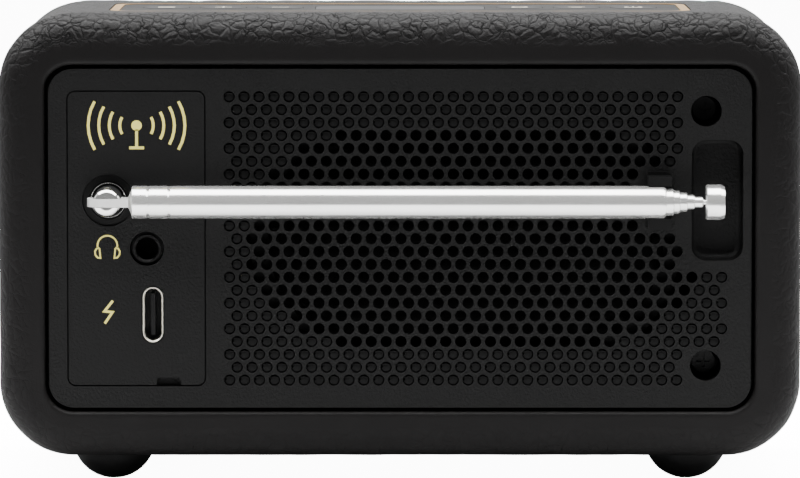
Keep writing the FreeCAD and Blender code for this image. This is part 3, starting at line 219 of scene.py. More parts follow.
@dataclass(frozen=True)
class GrainedLeather(Finish):
    """Full-grain leather, as strongly grained as the mesh's "grain" attribute says.

    Attributes:
        pebble: Size of a pebble of the grain, in mm.
        crease: Half the width of the crease between two pebbles, in mm.
        crease_depth: Depth of a crease, in mm.
        swirl: How far the pebbles are pulled out of true, in mm.
        pore: Size of the fine grain on the pebbles, in mm.
    """

    pebble: float = 1.75
    crease: float = 0.1
    crease_depth: float = 0.125
    swirl: float = 1.5
    pore: float = 0.3

    def surface(self, tree: bpy.types.NodeTree, shader: bpy.types.Node, place: bpy.types.NodeSocket) -> None:
        """Add pebbles, the dull creases between them with painted shade, a worn shine on their tops, and fine pores.

        Args:
            tree: The material's node tree.
            shader: Its Principled shader.
            place: Position on the piece, in mm.
        """
        grain = add_node(tree, "Attribute", {"attribute_name": "grain"}, {}).outputs["Fac"]
        slow = add_node(tree, "TexNoise", {}, {"Vector": place, "Scale": 0.33, "Detail": 2.0})
        quick = add_node(tree, "TexNoise", {}, {"Vector": place, "Scale": 1.5, "Detail": 1.0})
        pulled = add_node(
            tree, "VectorMath", {"operation": "MULTIPLY_ADD"},
            {0: slow.outputs["Color"], 1: (2 * self.swirl,) * 3, 2: place},
        )
        ragged = add_node(
            tree, "VectorMath", {"operation": "MULTIPLY_ADD"},
            {0: quick.outputs["Color"], 1: (0.4, 0.4, 0.4), 2: pulled.outputs["Vector"]},
        )
        cells = add_node(
            tree, "TexVoronoi", {"feature": "DISTANCE_TO_EDGE"},
            {"Vector": ragged.outputs["Vector"], "Scale": 1 / self.pebble},
        )
        small = add_node(
            tree, "TexVoronoi", {"feature": "DISTANCE_TO_EDGE"},
            {"Vector": ragged.outputs["Vector"], "Scale": 2.4 / self.pebble},
        )
        patch = add_node(tree, "TexNoise", {}, {"Vector": place, "Scale": 0.22, "Detail": 2.0})
        strong = add_node(
            tree, "MapRange", {"interpolation_type": "SMOOTHSTEP"},
            {"Value": patch.outputs["Fac"], "From Min": 0.3, "From Max": 0.6, "To Min": 0.35},
        )
        wide = add_node(
            tree, "MapRange", {"interpolation_type": "SMOOTHSTEP"},
            {"Value": cells.outputs["Distance"], "From Max": self.crease / self.pebble, "To Min": 1.0, "To Max": 0.0},
        )
        narrow = add_node(
            tree, "MapRange", {"interpolation_type": "SMOOTHSTEP"},
            {"Value": small.outputs["Distance"], "From Max": self.crease / self.pebble * 1.6,
             "To Min": 0.28, "To Max": 0.0},
        )
        either = add_node(
            tree, "Math", {"operation": "MAXIMUM"}, {0: wide.outputs["Result"], 1: narrow.outputs["Result"]}
        )
        present = add_node(tree, "Math", {"operation": "MULTIPLY"}, {0: grain, 1: strong.outputs["Result"]})
        crease = add_node(
            tree, "Math", {"operation": "MULTIPLY"}, {0: either.outputs["Value"], 1: present.outputs["Value"]}
        ).outputs["Value"]
        self.paint_crease_shade_and_wear(tree, shader, crease, patch.outputs["Fac"])
        dome = add_node(
            tree, "MapRange", {"interpolation_type": "SMOOTHERSTEP"},
            {"Value": cells.outputs["Distance"], "From Max": 0.34, "To Max": 0.9},
        )
        domed = add_node(tree, "Math", {"operation": "MULTIPLY"}, {0: dome.outputs["Result"], 1: grain})
        pores = add_node(tree, "TexNoise", {}, {"Vector": place, "Scale": 1 / self.pore, "Detail": 3.0})
        skin = add_node(
            tree, "Math", {"operation": "MULTIPLY_ADD"},
            {0: pores.outputs["Fac"], 1: self.relief / self.crease_depth, 2: domed.outputs["Value"]},
        )
        height = add_node(
            tree, "Math", {"operation": "MULTIPLY_ADD"}, {0: crease, 1: -0.8, 2: skin.outputs["Value"]}
        )
        self.emboss(tree, shader, height.outputs["Value"], self.crease_depth)

    def paint_crease_shade_and_wear(
        self, tree: bpy.types.NodeTree, shader: bpy.types.Node, crease: bpy.types.NodeSocket,
        patch: bpy.types.NodeSocket,
    ) -> None:
        """Paint shade into the creases as a darker colour and make them dull, and wear the pebbles unevenly.

        Args:
            tree: The material's node tree.
            shader: Its Principled shader.
            crease: 1 at the bottom of a crease.
            patch: Slow variation over the surface.
        """
        base = linear(self.colour)
        worn = tuple(v * (1 + self.mottle) for v in base[:3]) + (1.0,)
        # painted shade: the creases' colour drops to a tenth of the leather's
        crease_shade = tuple(v * 0.1 for v in base[:3]) + (1.0,)
        top = add_node(tree, "Mix", {"data_type": "RGBA"}, {0: patch, 6: base, 7: worn})
        colour = add_node(tree, "Mix", {"data_type": "RGBA"}, {0: crease, 6: top.outputs[2], 7: crease_shade})
        tree.links.new(colour.outputs[2], shader.inputs["Base Color"])
        shine = add_node(
            tree, "MapRange", {},
            {"Value": patch, "To Min": self.roughness * 1.15, "To Max": self.roughness * 0.85},
        )
        gloss = add_node(tree, "Mix", {"data_type": "FLOAT"}, {0: crease, 2: shine.outputs["Result"], 3: 1.0})
        tree.links.new(gloss.outputs[0], shader.inputs["Roughness"])


# Pigmented leather with a resin topcoat: dark, with a soft shine where the grain stands up.
LEATHER = GrainedLeather(
    "grained black leather", "#080707", roughness=0.5, ior=1.45, shine=0.14, relief=0.035, mottle=0.6
)
# ABS moulded in a spark-eroded tool: an even fine sand that kills the shine. The grit is drawn at
# 0.45 mm, coarser than the real 0.1 mm, so that it shows.
PANEL_ABS = Finish(
    "spark textured ABS", "#0B0B0B", roughness=0.58, ior=1.5, shine=0.13, grit=0.45, relief=0.14, mottle=0.2
)
# Polished-tool ABS of the sockets: smoother and blacker than the panel.
SOCKET_ABS = Finish("satin black ABS", "#080808", roughness=0.36, shine=0.16, grit=0.8, relief=0.004)
# Glass-filled structural ABS inside: matt with a faint flow pattern.
SHELL_ABS = Finish("structural black ABS", "#090909", roughness=0.62, shine=0.14, grit=2.0, relief=0.02)
# The same ABS at the foot of the dimples, where the tool is smooth. Its colour is made blacker than the panel's as
# painted shade in the recesses.
SHADED_DIMPLE_ABS = Finish("moulded ABS with painted dimple shade", "#060606", roughness=0.5, shine=0.1, grit=0.6, relief=0.002)
# Natural rubber mix, moulded: matt and slightly dusty.
RUBBER = Finish("moulded rubber", "#060606", roughness=0.66, ior=1.52, shine=0.16, grit=0.5, relief=0.02)
# Silicone key caps: softer and a little lighter than the plate round them.
SILICONE = Finish("silicone keycap", "#171717", roughness=0.58, ior=1.42, shine=0.2, grit=0.3, relief=0.01)
# Brass tube plated with satin chrome: bright, slightly milky, with drawing lines along the tube.
CHROME = Finish(
    "satin chrome plate", "#EAEAE8", metallic=0.86, roughness=0.18, shine=0.5, grit=0.35, relief=0.001, stretch=30,
    mottle=0.04,
)
# Zinc casting, polished and chromed: sharper reflections than the tubes.
POLISHED = Finish("polished chrome plate", "#E4E4E2", metallic=1.0, roughness=0.09, grit=0.6, relief=0.001)
# The blade that carries the tubes: pressed steel, plated and left satin.
SATIN = Finish(
    "satin plated steel", "#EAEAE8", metallic=0.86, roughness=0.5, shine=0.5, grit=0.35, relief=0.001, mottle=0.04
)
# Inside of the turret's cup: dark matt zinc, a painted shade and painted dark reflection in place of the plating.
PAINTED_CUP_SHADE = Finish("zinc cup with painted shade", "#0B0B0B", metallic=0.3, roughness=0.6, shine=0.2, grit=0.3, relief=0.003)
# Deep-drawn stainless steel of the socket shell: warm grey, brushed.
STEEL = Finish(
    "drawn stainless steel", "#D6D3C6", metallic=1.0, roughness=0.3, grit=0.25, relief=0.003, stretch=8, mottle=0.1
)
# Lacquered brass trim: satin gold.
BRASS = Finish("lacquered brass", "#93713C", metallic=1.0, roughness=0.42, grit=0.3, relief=0.002, stretch=12, mottle=0.08)
# Powder-coated perforated steel: orange-peel skin.
POWDER_COAT = Finish("powder coated steel", "#181818", roughness=0.45, grit=0.9, relief=0.015)
# Pad-printed ink: a flat pale gold film with faint pinholes.
INK = Finish("pad printed gold ink", "#D2C765", roughness=0.5, grit=0.25, relief=0.004, mottle=0.06)
# White ink on the key caps.
KEY_INK = Finish("pad printed pale ink", "#C9C4B4", roughness=0.5, grit=0.25, relief=0.004, mottle=0.06)
# Smoked acrylic display window with a hard anti-glare coat: nearly black, softly shining.
ACRYLIC = Finish("anti-glare smoked acrylic", "#0A0A0C", roughness=0.5, ior=1.49, shine=0.2, grit=0.4, relief=0.002)
# Liquid crystal cell behind the window.
LCD = Finish("liquid crystal cell", "#0C0F10", roughness=0.15, ior=1.52, grit=2.0, relief=0.001)
# Epoxy solder mask over copper tracks.
SOLDER_MASK = Finish("green solder mask", "#14502E", roughness=0.3, grit=1.2, relief=0.03, mottle=0.3)
# Sintered ferrite: dark grey and sandy.
FERRITE = Finish("sintered ferrite", "#2B2A2A", roughness=0.7, grit=0.4, relief=0.02)
# Pressed paper pulp: fibrous and matt.
PULP = Finish("pressed paper pulp", "#1C1B1A", roughness=0.85, grit=0.6, relief=0.05, stretch=3)
# Enamelled copper wire, wound in one layer.
COPPER = Finish("enamelled copper", "#B5653A", metallic=1.0, roughness=0.35, grit=0.2, relief=0.01)
# Polyester shrink film round the cell.
SHRINK_FILM = Finish("blue shrink film", "#2E5F9E", roughness=0.25, grit=4.0, relief=0.03)
# Black oxide on steel screws.
BLACK_OXIDE = Finish("black oxide steel", "#141414", metallic=0.6, roughness=0.45, grit=0.3, relief=0.004)
# Silicone wire insulation.
RED_WIRE = Finish("red silicone insulation", "#8C1412", roughness=0.5, grit=0.6, relief=0.006)
BLACK_WIRE = Finish("black silicone insulation", "#151515", roughness=0.5, grit=0.6, relief=0.006)


# ---------------------------------------------------------------- modelling helpers


def deselect() -> None:
    """Leave edit mode and select nothing."""
    if bpy.context.object and bpy.context.object.mode != "OBJECT":
        bpy.ops.object.mode_set(mode="OBJECT")
    bpy.ops.object.select_all(action="DESELECT")


def take(piece: bpy.types.Object) -> None:
    """Make a piece the only selected and active object."""
    deselect()
    piece.select_set(True)
    bpy.context.view_layer.objects.active = piece


def named(name: str) -> bpy.types.Object:
    """Name the newest primitive and settle its place into its mesh.

    Args:
        name: Name for the piece.

    Returns:
        The piece, at the origin, unturned and unscaled.
    """
    piece = bpy.context.object
    piece.name = name
    piece.data.name = name
    bpy.ops.object.transform_apply(location=True, rotation=True, scale=True)
    return piece


def block(name: str, low: Sequence[float], high: Sequence[float]) -> bpy.types.Object:
    """Add a block between two corners, in metres.

    Args:
        name: Name for the piece.
        low: Lowest corner.
        high: Highest corner.

    Returns:
        The block.
    """
    deselect()
    middle = [(a + b) / 2 for a, b in zip(low, high)]
    size = [b - a for a, b in zip(low, high)]
    bpy.ops.mesh.primitive_cube_add(size=1.0, location=middle, scale=size)
    return named(name)


def choose(
    piece: bpy.types.Object, part: str, test: Callable[[Vector, Vector], bool]
) -> int:
    """Select faces, edges or vertices by their place, and go into edit mode.

    Args:
        piece: Mesh to select in.
        part: "FACE", "EDGE" or "VERT".
        test: Takes a face's middle and normal, an edge's two ends, or a vertex's place and normal.

    Returns:
        How many were selected.
    """
    take(piece)
    mesh = piece.data
    for group in (mesh.vertices, mesh.edges, mesh.polygons):
        group.foreach_set("select", [False] * len(group))
    count = 0
    if part == "FACE":
        for face in mesh.polygons:
            face.select = test(face.center, face.normal)
            count += face.select
    elif part == "EDGE":
        for edge in mesh.edges:
            ends = [mesh.vertices[i].co for i in edge.vertices]
            edge.select = test(*ends)
            count += edge.select
    else:
        for vertex in mesh.vertices:
            vertex.select = test(vertex.co, vertex.normal)
            count += vertex.select
    bpy.ops.object.mode_set(mode="EDIT")
    bpy.ops.mesh.select_mode(type=part)
    return count


def done(piece: bpy.types.Object, angle: float = 35.0) -> bpy.types.Object:
    """Leave edit mode, point the faces outwards and shade the piece smooth.

    Args:
        piece: Mesh to finish.
        angle: Edges sharper than this many degrees stay sharp.

    Returns:
        The same piece.
    """
    take(piece)
    bpy.ops.object.mode_set(mode="EDIT")
    bpy.ops.mesh.select_all(action="SELECT")
    bpy.ops.mesh.remove_doubles(threshold=0.000002)
    bpy.ops.mesh.normals_make_consistent(inside=False)
    bpy.ops.object.mode_set(mode="OBJECT")
    bpy.ops.object.shade_smooth_by_angle(angle=math.radians(angle))
    return piece


def apply_modifier(piece: bpy.types.Object, kind: str, settings: dict) -> None:
    """Add a modifier and apply it at once.

    Args:
        piece: Mesh to change.
        kind: Modifier type.
        settings: Its properties.
    """
    take(piece)
    modifier = piece.modifiers.new(kind.title(), kind)
    for key, value in settings.items():
        setattr(modifier, key, value)
    bpy.ops.object.modifier_apply(modifier=modifier.name)


def plate(name: str, outline: Outline, base: Point, thickness: float) -> bpy.types.Object:
    """Make a flat shape facing +Y from an outline in X and Z, and give it thickness.

    Args:
        name: Name for the piece.
        outline: Corners as offsets from base in X and Z, in mm.
        base: Place of the outline's zero, in metres; its Y is the back of the plate.
        thickness: Thickness towards +Y, in mm.

    Returns:
        The plate.
    """
    deselect()
    bpy.ops.mesh.primitive_circle_add(vertices=len(outline), radius=1.0, fill_type="NGON")
    piece = named(name)
    for vertex, (x, z) in zip(piece.data.vertices, outline):
        vertex.co = Vector(base) + Vector((x * MM, 0.0, z * MM))
    choose(piece, "FACE", lambda middle, normal: True)
    bpy.ops.mesh.extrude_region_move(TRANSFORM_OT_translate={"value": (0.0, thickness * MM, 0.0)})
    return done(piece)


def join(name: str, pieces: list[bpy.types.Object]) -> bpy.types.Object:
    """Join pieces into one mesh.

    Args:
        name: Name for the joined piece.
        pieces: Meshes to join.

    Returns:
        The joined piece.
    """
    take(pieces[0])
    for piece in pieces[1:]:
        piece.select_set(True)
    bpy.ops.object.join()
    pieces[0].name = name
    pieces[0].data.name = name
    return pieces[0]


def copy_of(piece: bpy.types.Object, shift: Vector) -> bpy.types.Object:
    """Copy a piece with its own mesh, moved by shift.

    Args:
        piece: Mesh to copy.
        shift: Move, in metres.

    Returns:
        The copy.
    """
    twin = piece.copy()
    twin.data = piece.data.copy()
    bpy.context.scene.collection.objects.link(twin)
    for vertex in twin.data.vertices:
        vertex.co += shift
    return twin


def dress(
    piece: bpy.types.Object, finish: Finish, body: str = "cabinet", stands_for: Sequence[str] = ()
) -> None:
    """Give a finished piece its material and its body.

    Args:
        piece: The finished piece.
        finish: Its finish.
        body: The CAD body it rides on.
        stands_for: CAD nodes it replaces.
    """
    piece.data.materials.clear()
    piece.data.materials.append(finish.make())
    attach(piece, body)
    if stands_for:
        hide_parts(*stands_for)
    log.info("%s: %d faces on %s", piece.name, len(piece.data.polygons), body)


# ---------------------------------------------------------------- leather


def ease(value: float) -> float:
    """Turn a value smoothly into 0 to 1."""
    value = min(1.0, max(0.0, value))
    return value * value * (3 - 2 * value)


@dataclass
class Padding:
    """The soft unevenness of leather over foam, with long folds where it is drawn round an edge.

    Attributes:
        swell: Height of the unevenness, mm.
        swell_size: Size of one swelling, mm.
        fold_depth: Depth of a fold, mm.
    """

    swell: float = 0.16
    swell_size: float = 3.6
    fold_depth: float = 0.14

    def press(self, piece: bpy.types.Object, share: Callable[[Vector], tuple[float, float]]) -> None:
        """Move the leather's surface and keep how strongly it is grained as an attribute.

        Args:
            piece: The leather.
            share: Gives, from a place in mm, the grain's strength and the fold's, 0 to 1.
        """
        grain = piece.data.attributes.new("grain", "FLOAT", "POINT")
        moves = []
        for vertex in piece.data.vertices:
            spot = vertex.co / MM
            strength, fold = share(spot)
            grain.data[vertex.index].value = strength
            if strength > 0.01:
                swell = self.swell * noise.noise(spot / self.swell_size)
                moves.append((vertex, vertex.normal * (swell * strength - fold * self.fold_depth)))
        for vertex, move in moves:
            vertex.co += move * MM


@dataclass
class RoundedRing:
    """A closed section carried round a rounded rectangle in X and Z.

    Attributes:
        width: Outer width, mm.
        height: Outer height, mm.
        corner: Outer corner radius, mm.
        middle_z: Height of its middle, mm.
        step: Longest step along the ring, mm.
    """

    width: float = 130.0
    height: float = 72.0
    corner: float = 12.2
    middle_z: float = 40.4
    step: float = 0.42

    def sweep(self, name: str, section: Outline) -> bpy.types.Object:
        """Carry a section round the ring.

        Args:
            name: Name for the piece.
            section: Corners as (inset from the outer face, Y), in mm, in order.

        Returns:
            The ring, closed.
        """
        deselect()
        bpy.ops.mesh.primitive_circle_add(vertices=len(section), radius=1.0, fill_type="NOTHING")
        piece = named(name)
        run_x = (self.width - 2 * self.corner) * MM
        run_z = (self.height - 2 * self.corner) * MM
        low = (self.middle_z - self.height / 2) * MM
        for vertex, (inset, y) in zip(piece.data.vertices, section):
            vertex.co = (-run_x / 2, y * MM, low + inset * MM)
        right, left = run_x / 2, -run_x / 2
        bottom = low + self.corner * MM
        top = bottom + run_z
        turns = [
            ((run_x, 0, 0), (right, 0, bottom)),
            ((0, 0, run_z), (right, 0, top)),
            ((-run_x, 0, 0), (left, 0, top)),
            ((0, 0, -run_z), (left, 0, bottom)),
        ]
        choose(piece, "EDGE", lambda a, b: True)
        for run, centre in turns:
            bpy.ops.mesh.extrude_region_move(TRANSFORM_OT_translate={"value": run})
            bpy.ops.mesh.spin(steps=40, angle=math.pi / 2, center=centre, axis=(0.0, 1.0, 0.0))
        bpy.ops.object.mode_set(mode="OBJECT")
        for axis, length in ((0, run_x), (2, run_z)):
            self.divide(piece, axis, length)
        return done(piece, 50)

    def place(self, point: Vector) -> tuple[float, float]:
        """Say where a point lies on the ring.

        Args:
            point: A point, in metres.

        Returns:
            Its inset from the outer face in mm, and how far it faces up, from -1 at the bottom to 1 at the top.
        """
        across = abs(point.x / MM) - (self.width / 2 - self.corner)
        up = abs(point.z / MM - self.middle_z) - (self.height / 2 - self.corner)
        side = 1 if point.z / MM > self.middle_z else -1
        if across > 0 and up > 0:
            away = math.hypot(across, up)
            return self.corner - away, side * up / away
        if up > across:
            return self.corner - up, float(side)
        return self.corner - across, 0.0

    def divide(self, piece: bpy.types.Object, axis: int, length: float) -> None:
        """Cut the straight runs along one axis into short steps.

        Args:
            piece: The ring.
            axis: 0 for the runs along X, 2 for those along Z.
            length: Length of the runs, in metres.
        """
        first = round(math.sqrt(length / (self.step * MM)))
        for cuts, shortest in ((first, 0.9 * length), (first - 1, 3 * self.step * MM)):
            choose(piece, "EDGE", lambda a, b: abs((a - b)[axis]) > shortest)
            bpy.ops.mesh.subdivide(number_cuts=cuts)
            bpy.ops.object.mode_set(mode="OBJECT")


@dataclass
class LeatherEnd(RoundedRing):
    """Padded leather over one end of the cabinet, rolled at its outer edge and turned in at the opening.

    Attributes:
        end: Which end it covers.
        reach: How far it comes along the cabinet, mm.
        edge: Radius of its rolled outer edge, mm.
        rim: Width of the rim, mm.
        turn: Radius where it turns into the opening, mm.
        depth: How far it goes into the opening, mm.
        thickness: Leather thickness, mm.
        lowered: How much lower the opening's top is than an even rim, mm.
        bead: How far its turned-over edge stands up at the seam, mm.
    """

    end: End = End.REAR
    reach: float = 8.0
    edge: float = 5.0
    rim: float = 7.65
    turn: float = 0.8
    depth: float = 6.4
    thickness: float = 1.0
    lowered: float = 0.6
    bead: float = 0.05

    def section(self) -> Outline:
        """Give the rim's section.

        Returns:
            Corners as (inset, depth under the end face), in mm.
        """
        bead = self.bead
        points: Outline = [(0.62, self.reach), (0.25, self.reach), (0.05 - bead, self.reach - 0.12)]
        points += [(-bead, self.reach - 0.35), (0.05 - bead, self.reach - 0.6), (0.0, self.reach - 0.9)]
        steps = 5
        for i in range(1, steps):
            points.append((0.0, self.reach - 0.9 - (self.reach - self.edge - 0.9) * i / steps))
        for i in range(21):
            angle = math.pi / 2 * i / 20
            points.append((self.edge * (1 - math.cos(angle)), self.edge * (1 - math.sin(angle))))
        flat = self.rim - self.turn
        for i in range(1, 5):
            points.append((self.edge + (flat - self.edge) * i / 5, 0.0))
        for i in range(6):
            angle = math.pi / 2 * i / 5
            points.append((flat + self.turn * math.sin(angle), self.turn * (1 - math.cos(angle))))
        points.append((self.rim, self.depth / 2))
        points.append((self.rim, self.depth))
        inner = self.rim - self.thickness
        points += [(inner, self.depth), (inner, self.thickness), (self.edge, self.thickness)]
        points += [(2.1, 2.1), (self.thickness, self.edge), (self.thickness, self.reach)]
        return points

    def build(self, name: str) -> bpy.types.Object:
        """Build the cover.

        Args:
            name: Name for the piece.

        Returns:
            The cover.
        """
        low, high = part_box(name)
        face = (high.y if self.end is End.REAR else low.y) / MM
        section = [(inset, face - self.end.value * depth) for inset, depth in self.section()]
        piece = self.sweep(name + "_leather", section)
        self.lower_opening(piece)
        self.pad(piece, face)
        return piece

    def lower_opening(self, piece: bpy.types.Object) -> None:
        """Bring the opening's top edge down to the panel's place.

        Args:
            piece: The cover.
        """
        start = self.edge * 0.3
        for vertex in piece.data.vertices:
            inset, facing = self.place(vertex.co)
            share = min(1.0, max(0.0, (inset - start) / (self.rim - start)))
            vertex.co.z -= self.lowered * MM * share * max(0.0, facing)

    def pad(self, piece: bpy.types.Object, face: float) -> None:
        """Press the grain in: strong where the leather is gathered round the edge, faint where it is drawn flat.

        Args:
            piece: The cover.
            face: Y of the end face, mm.
        """

        def share(spot: Vector) -> tuple[float, float]:
            depth = abs(face - spot.y)
            inset, facing = self.place(spot * MM)
            buried = min(inset, depth)
            if inset < self.edge and depth < self.edge:
                buried = self.edge - math.hypot(self.edge - inset, self.edge - depth)
            if inset > self.rim - 0.3 or buried > self.thickness * 0.5:
                return 0.0, 0.0
            rolled = ease((self.edge + 0.9 - inset) / 2.4)
            seam = ease((self.reach - 0.9 - depth) / 0.8)
            line = self.edge - 0.8 + 0.9 * noise.noise(spot / 8.0)
            near = 1 - ease(abs(inset - line) / 0.45)
            fold = near * ease(0.35 + 2.0 * noise.noise(spot / 6.0 + Vector((9, 0, 0))))
            upward = 0.34 + 0.66 * ease(facing)
            return (0.08 + 0.92 * rolled) * seam * upward, fold * upward

        Padding().press(piece, share)


@dataclass
class LeatherWrap(RoundedRing):
    """The band of leather between the two ends, with an opening in its top for the controls.

    Attributes:
        inset: How far it lies under the ends, mm.
        thickness: Leather thickness, mm.
        lift: How much higher its edges stand, mm.
        edge_r: Radius of its turned edges, mm.
    """

    inset: float = 0.1
    thickness: float = 0.9
    lift: float = 0.14
    edge_r: float = 0.25

    def crown(self, away: float) -> float:
        """Give the band's inset near its edges, where it is rolled over and stands a little higher.

        Args:
            away: Distance from the edge, mm.

        Returns:
            The inset, mm.
        """
        raised = self.inset - self.lift * (1 - ease(away / 2.2))
        short = max(0.0, 1 - away / self.edge_r)
        return raised + self.edge_r * (1 - math.sqrt(1 - short * short))

    def build(self) -> bpy.types.Object:
        """Build the band.

        Returns:
            The band.
        """
        low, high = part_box("leather_wrap")
        y0, y1 = low.y / MM, high.y / MM
        near_edge = [0.0, 0.04, 0.12, 0.25, 0.5, 0.85, 1.3, 1.9]
        steps = 70
        start, run = 2.5, y1 - y0 - 5.0
        section = [(self.crown(away), y0 + away) for away in near_edge]
        section += [(self.inset, y0 + start + run * i / steps) for i in range(steps + 1)]
        section += [(self.crown(away), y1 - away) for away in reversed(near_edge)]
        inner = self.inset + self.thickness
        section += [(inner, y1 - (y1 - y0) * i / 6) for i in range(7)]
        piece = self.sweep("leather_wrap_band", section)
        bezel_low, bezel_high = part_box("control_bezel")
        grow = 0.1 * MM
        cutter = block(
            "wrap_cutter",
            (bezel_low.x - grow, bezel_low.y - grow, bezel_low.z - 0.01),
            (bezel_high.x + grow, bezel_high.y + grow, bezel_high.z + 0.01),
        )
        choose(cutter, "EDGE", lambda a, b: abs(a.z - b.z) > 0.01)
        bpy.ops.mesh.bevel(offset=4.7 * MM, segments=10, affect="EDGES")
        done(cutter)
        apply_modifier(piece, "BOOLEAN", {"operation": "DIFFERENCE", "object": cutter, "solver": "EXACT"})
        bpy.data.objects.remove(cutter)
        done(piece, 50)

        def share(spot: Vector) -> tuple[float, float]:
            inset = self.place(spot * MM)[0]
            edges = ease((min(spot.y - y0, y1 - spot.y) - 0.6) / 1.0)
            return (0.4 * edges if inset < self.inset + 0.2 else 0.0), 0.0

        Padding(swell=0.06).press(piece, share)
        return piece


# ---------------------------------------------------------------- printed marks


def curve(middle: tuple[float, float], radius: float, start: float, sweep: float) -> Outline:
    """List points along an arc.

    Args:
        middle: Its centre, X and Z.
        radius: Its radius.
        start: Angle of its first end, degrees from +X towards +Z.
        sweep: Angle that it covers, degrees.

    Returns:
        The points.
    """
    steps = max(6, round(abs(sweep) / 12))
    angles = [math.radians(start + sweep * i / steps) for i in range(steps + 1)]
    return [(middle[0] + radius * math.cos(a), middle[1] + radius * math.sin(a)) for a in angles]


@dataclass
class PrintedMarks:
    """Ink on the socket panel: an emblem of a mast and its waves, headphones, and a charging bolt.

    Attributes:
        film: Thickness of the ink, mm.
        line: Width of a thin line, mm.
    """

    film: float = 0.03
    line: float = 0.27

    def stroke(self, name: str, at: Point, path: Outline, width: float) -> bpy.types.Object:
        """Print a line with mitred corners.

        Args:
            name: Name for the piece.
            at: Place of the path's zero, in metres.
            path: Points along the line as offsets in X and Z, mm.
            width: Its width, mm.

        Returns:
            The line.
        """
        sides: tuple[Outline, Outline] = ([], [])
        for i, (x, z) in enumerate(path):
            before = Vector(path[max(i - 1, 0)])
            after = Vector(path[min(i + 1, len(path) - 1)])
            here = Vector((x, z))
            ways = [way.normalized() for way in (here - before, after - here) if way.length > 1e-6]
            along = (ways[0] + ways[-1]).normalized()
            reach = width / 2 / max(0.5, along.dot(ways[0]))
            across = Vector((-along.y, along.x)) * reach
            sides[0].append(tuple(here + across))
            sides[1].append(tuple(here - across))
        return plate(name, sides[0] + sides[1][::-1], at, self.film)

    def emblem(self, at: Point) -> bpy.types.Object:
        """Print the mast and its waves."""
        parts = [
            self.stroke("emblem_wave", at, curve((0.0, 0.0), radius, side - 30, 60), 0.46)
            for radius in (2.7, 4.4, 6.1, 7.8)
            for side in (0, 180)
        ]
        parts.append(plate("emblem_dot", curve((0.0, 0.0), 0.85, 0, 342), at, self.film))
        parts.append(self.stroke("emblem_mast", at, [(0.0, -0.6), (0.0, -3.4)], 0.46))
        parts.append(self.stroke("emblem_foot", at, [(-1.2, -3.6), (1.2, -3.6)], 0.46))
        return join("emblem_mark", parts)

    def headphones(self, at: Point) -> bpy.types.Object:
        """Print the headphones: a band and two hollow ear cups."""
        parts = [self.stroke("phones_band", at, [(1.58, -0.25)] + curve((0, 0), 1.6, 0, 180) + [(-1.58, -0.25)], self.line)]
        for side in (-1, 1):
            cup = [(1.3, -0.35), (1.75, -0.5), (2.02, -0.95), (1.95, -1.5), (1.6, -1.95), (1.12, -2.02), (1.28, -0.42)]
            parts.append(self.stroke("phones_cup", at, [(side * x, z) for x, z in cup], self.line * 0.95))
        return join("headphone_mark", parts)

    def build(self) -> list[bpy.types.Object]:
        """Print all three marks.

        Returns:
            The marks.
        """
        low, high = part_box("socket_panel")
        x, z = (low.x + high.x) / 2, (low.z + high.z) / 2
        emblem = self.emblem((x - 0.1 * MM, high.y, z + 18.3 * MM))
        phones = self.headphones((x + 4.68 * MM, high.y, z - 1.12 * MM))
        zigzag = [(-0.66, 1.82), (0.7, 0.12), (-0.6, -0.02), (0.64, -1.86)]
        bolt = self.stroke("charging_mark", (x + 4.5 * MM, high.y, z - 11.9 * MM), zigzag, 0.4)
        return [emblem, phones, bolt]


# ---------------------------------------------------------------- grille


@dataclass
class BlindDimples:
    """Domed floors of the dimples round the open part of the back's grille.

    Attributes:
        pitch: Hole spacing, mm.
        hole: Hole radius, mm.
        margin: Plate left outside the outermost holes, mm.
        rows: Number of rows.
        floor: Depth of a dimple, mm.
        rise: Height of the domed floor, mm.
    """

    pitch: float = 2.41
    hole: float = 0.91
    margin: float = 0.42
    rows: int = 23
    floor: float = 0.46
    rise: float = 0.14

    def places(self) -> list[tuple[float, float]]:
        """Find the blind holes.

        Returns:
            X and Z of each blind hole, in mm.
        """
        low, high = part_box("rear_grille")
        left = high.x / MM - self.hole - self.margin
        top = high.z / MM - self.hole - self.margin
        row_pitch = self.pitch * math.sin(math.radians(60))
        middle_z = top - (self.rows - 1) / 2 * row_pitch
        found = []
        for row in range(self.rows):
            below = row - self.rows // 2
            count = 28 if -5 <= below <= -1 else 34 if 3 <= below <= 8 else 31
            for i in range(count - row % 2):
                x = left - (row % 2) * self.pitch / 2 - i * self.pitch
                z = top - row * row_pitch
                across = abs(x - (left - 39.77)) / 36.5
                up = abs(z - middle_z) / 18.6
                if across**2.7 + up**2.7 > 1:
                    found.append((x, z))
        return found

    def build(self) -> bpy.types.Object:
        """Model one domed floor and copy it into every blind hole.

        Returns:
            All the floors as one piece.
        """
        low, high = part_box("rear_grille")
        floor_y = high.y - self.floor * MM + 0.005 * MM
        rim = (self.hole - 0.005) * MM
        rise = self.rise * MM
        ball = (rim**2 + rise**2) / (2 * rise)
        deselect()
        bpy.ops.mesh.primitive_uv_sphere_add(
            segments=12, ring_count=24, radius=ball, location=(0, 0, 0), rotation=(math.pi / 2, 0, 0)
        )
        dome = named("dome")
        choose(dome, "FACE", lambda middle, normal: True)
        bpy.ops.mesh.bisect(
            plane_co=(0, ball - rise, 0), plane_no=(0, 1, 0), use_fill=True, clear_inner=True
        )
        done(dome, 60)
        copies = [
            copy_of(dome, Vector((x * MM, floor_y - (ball - rise), z * MM))) for x, z in self.places()
        ]
        bpy.data.objects.remove(dome)
        return join("dimple_floors", copies)


# ---------------------------------------------------------------- key caps


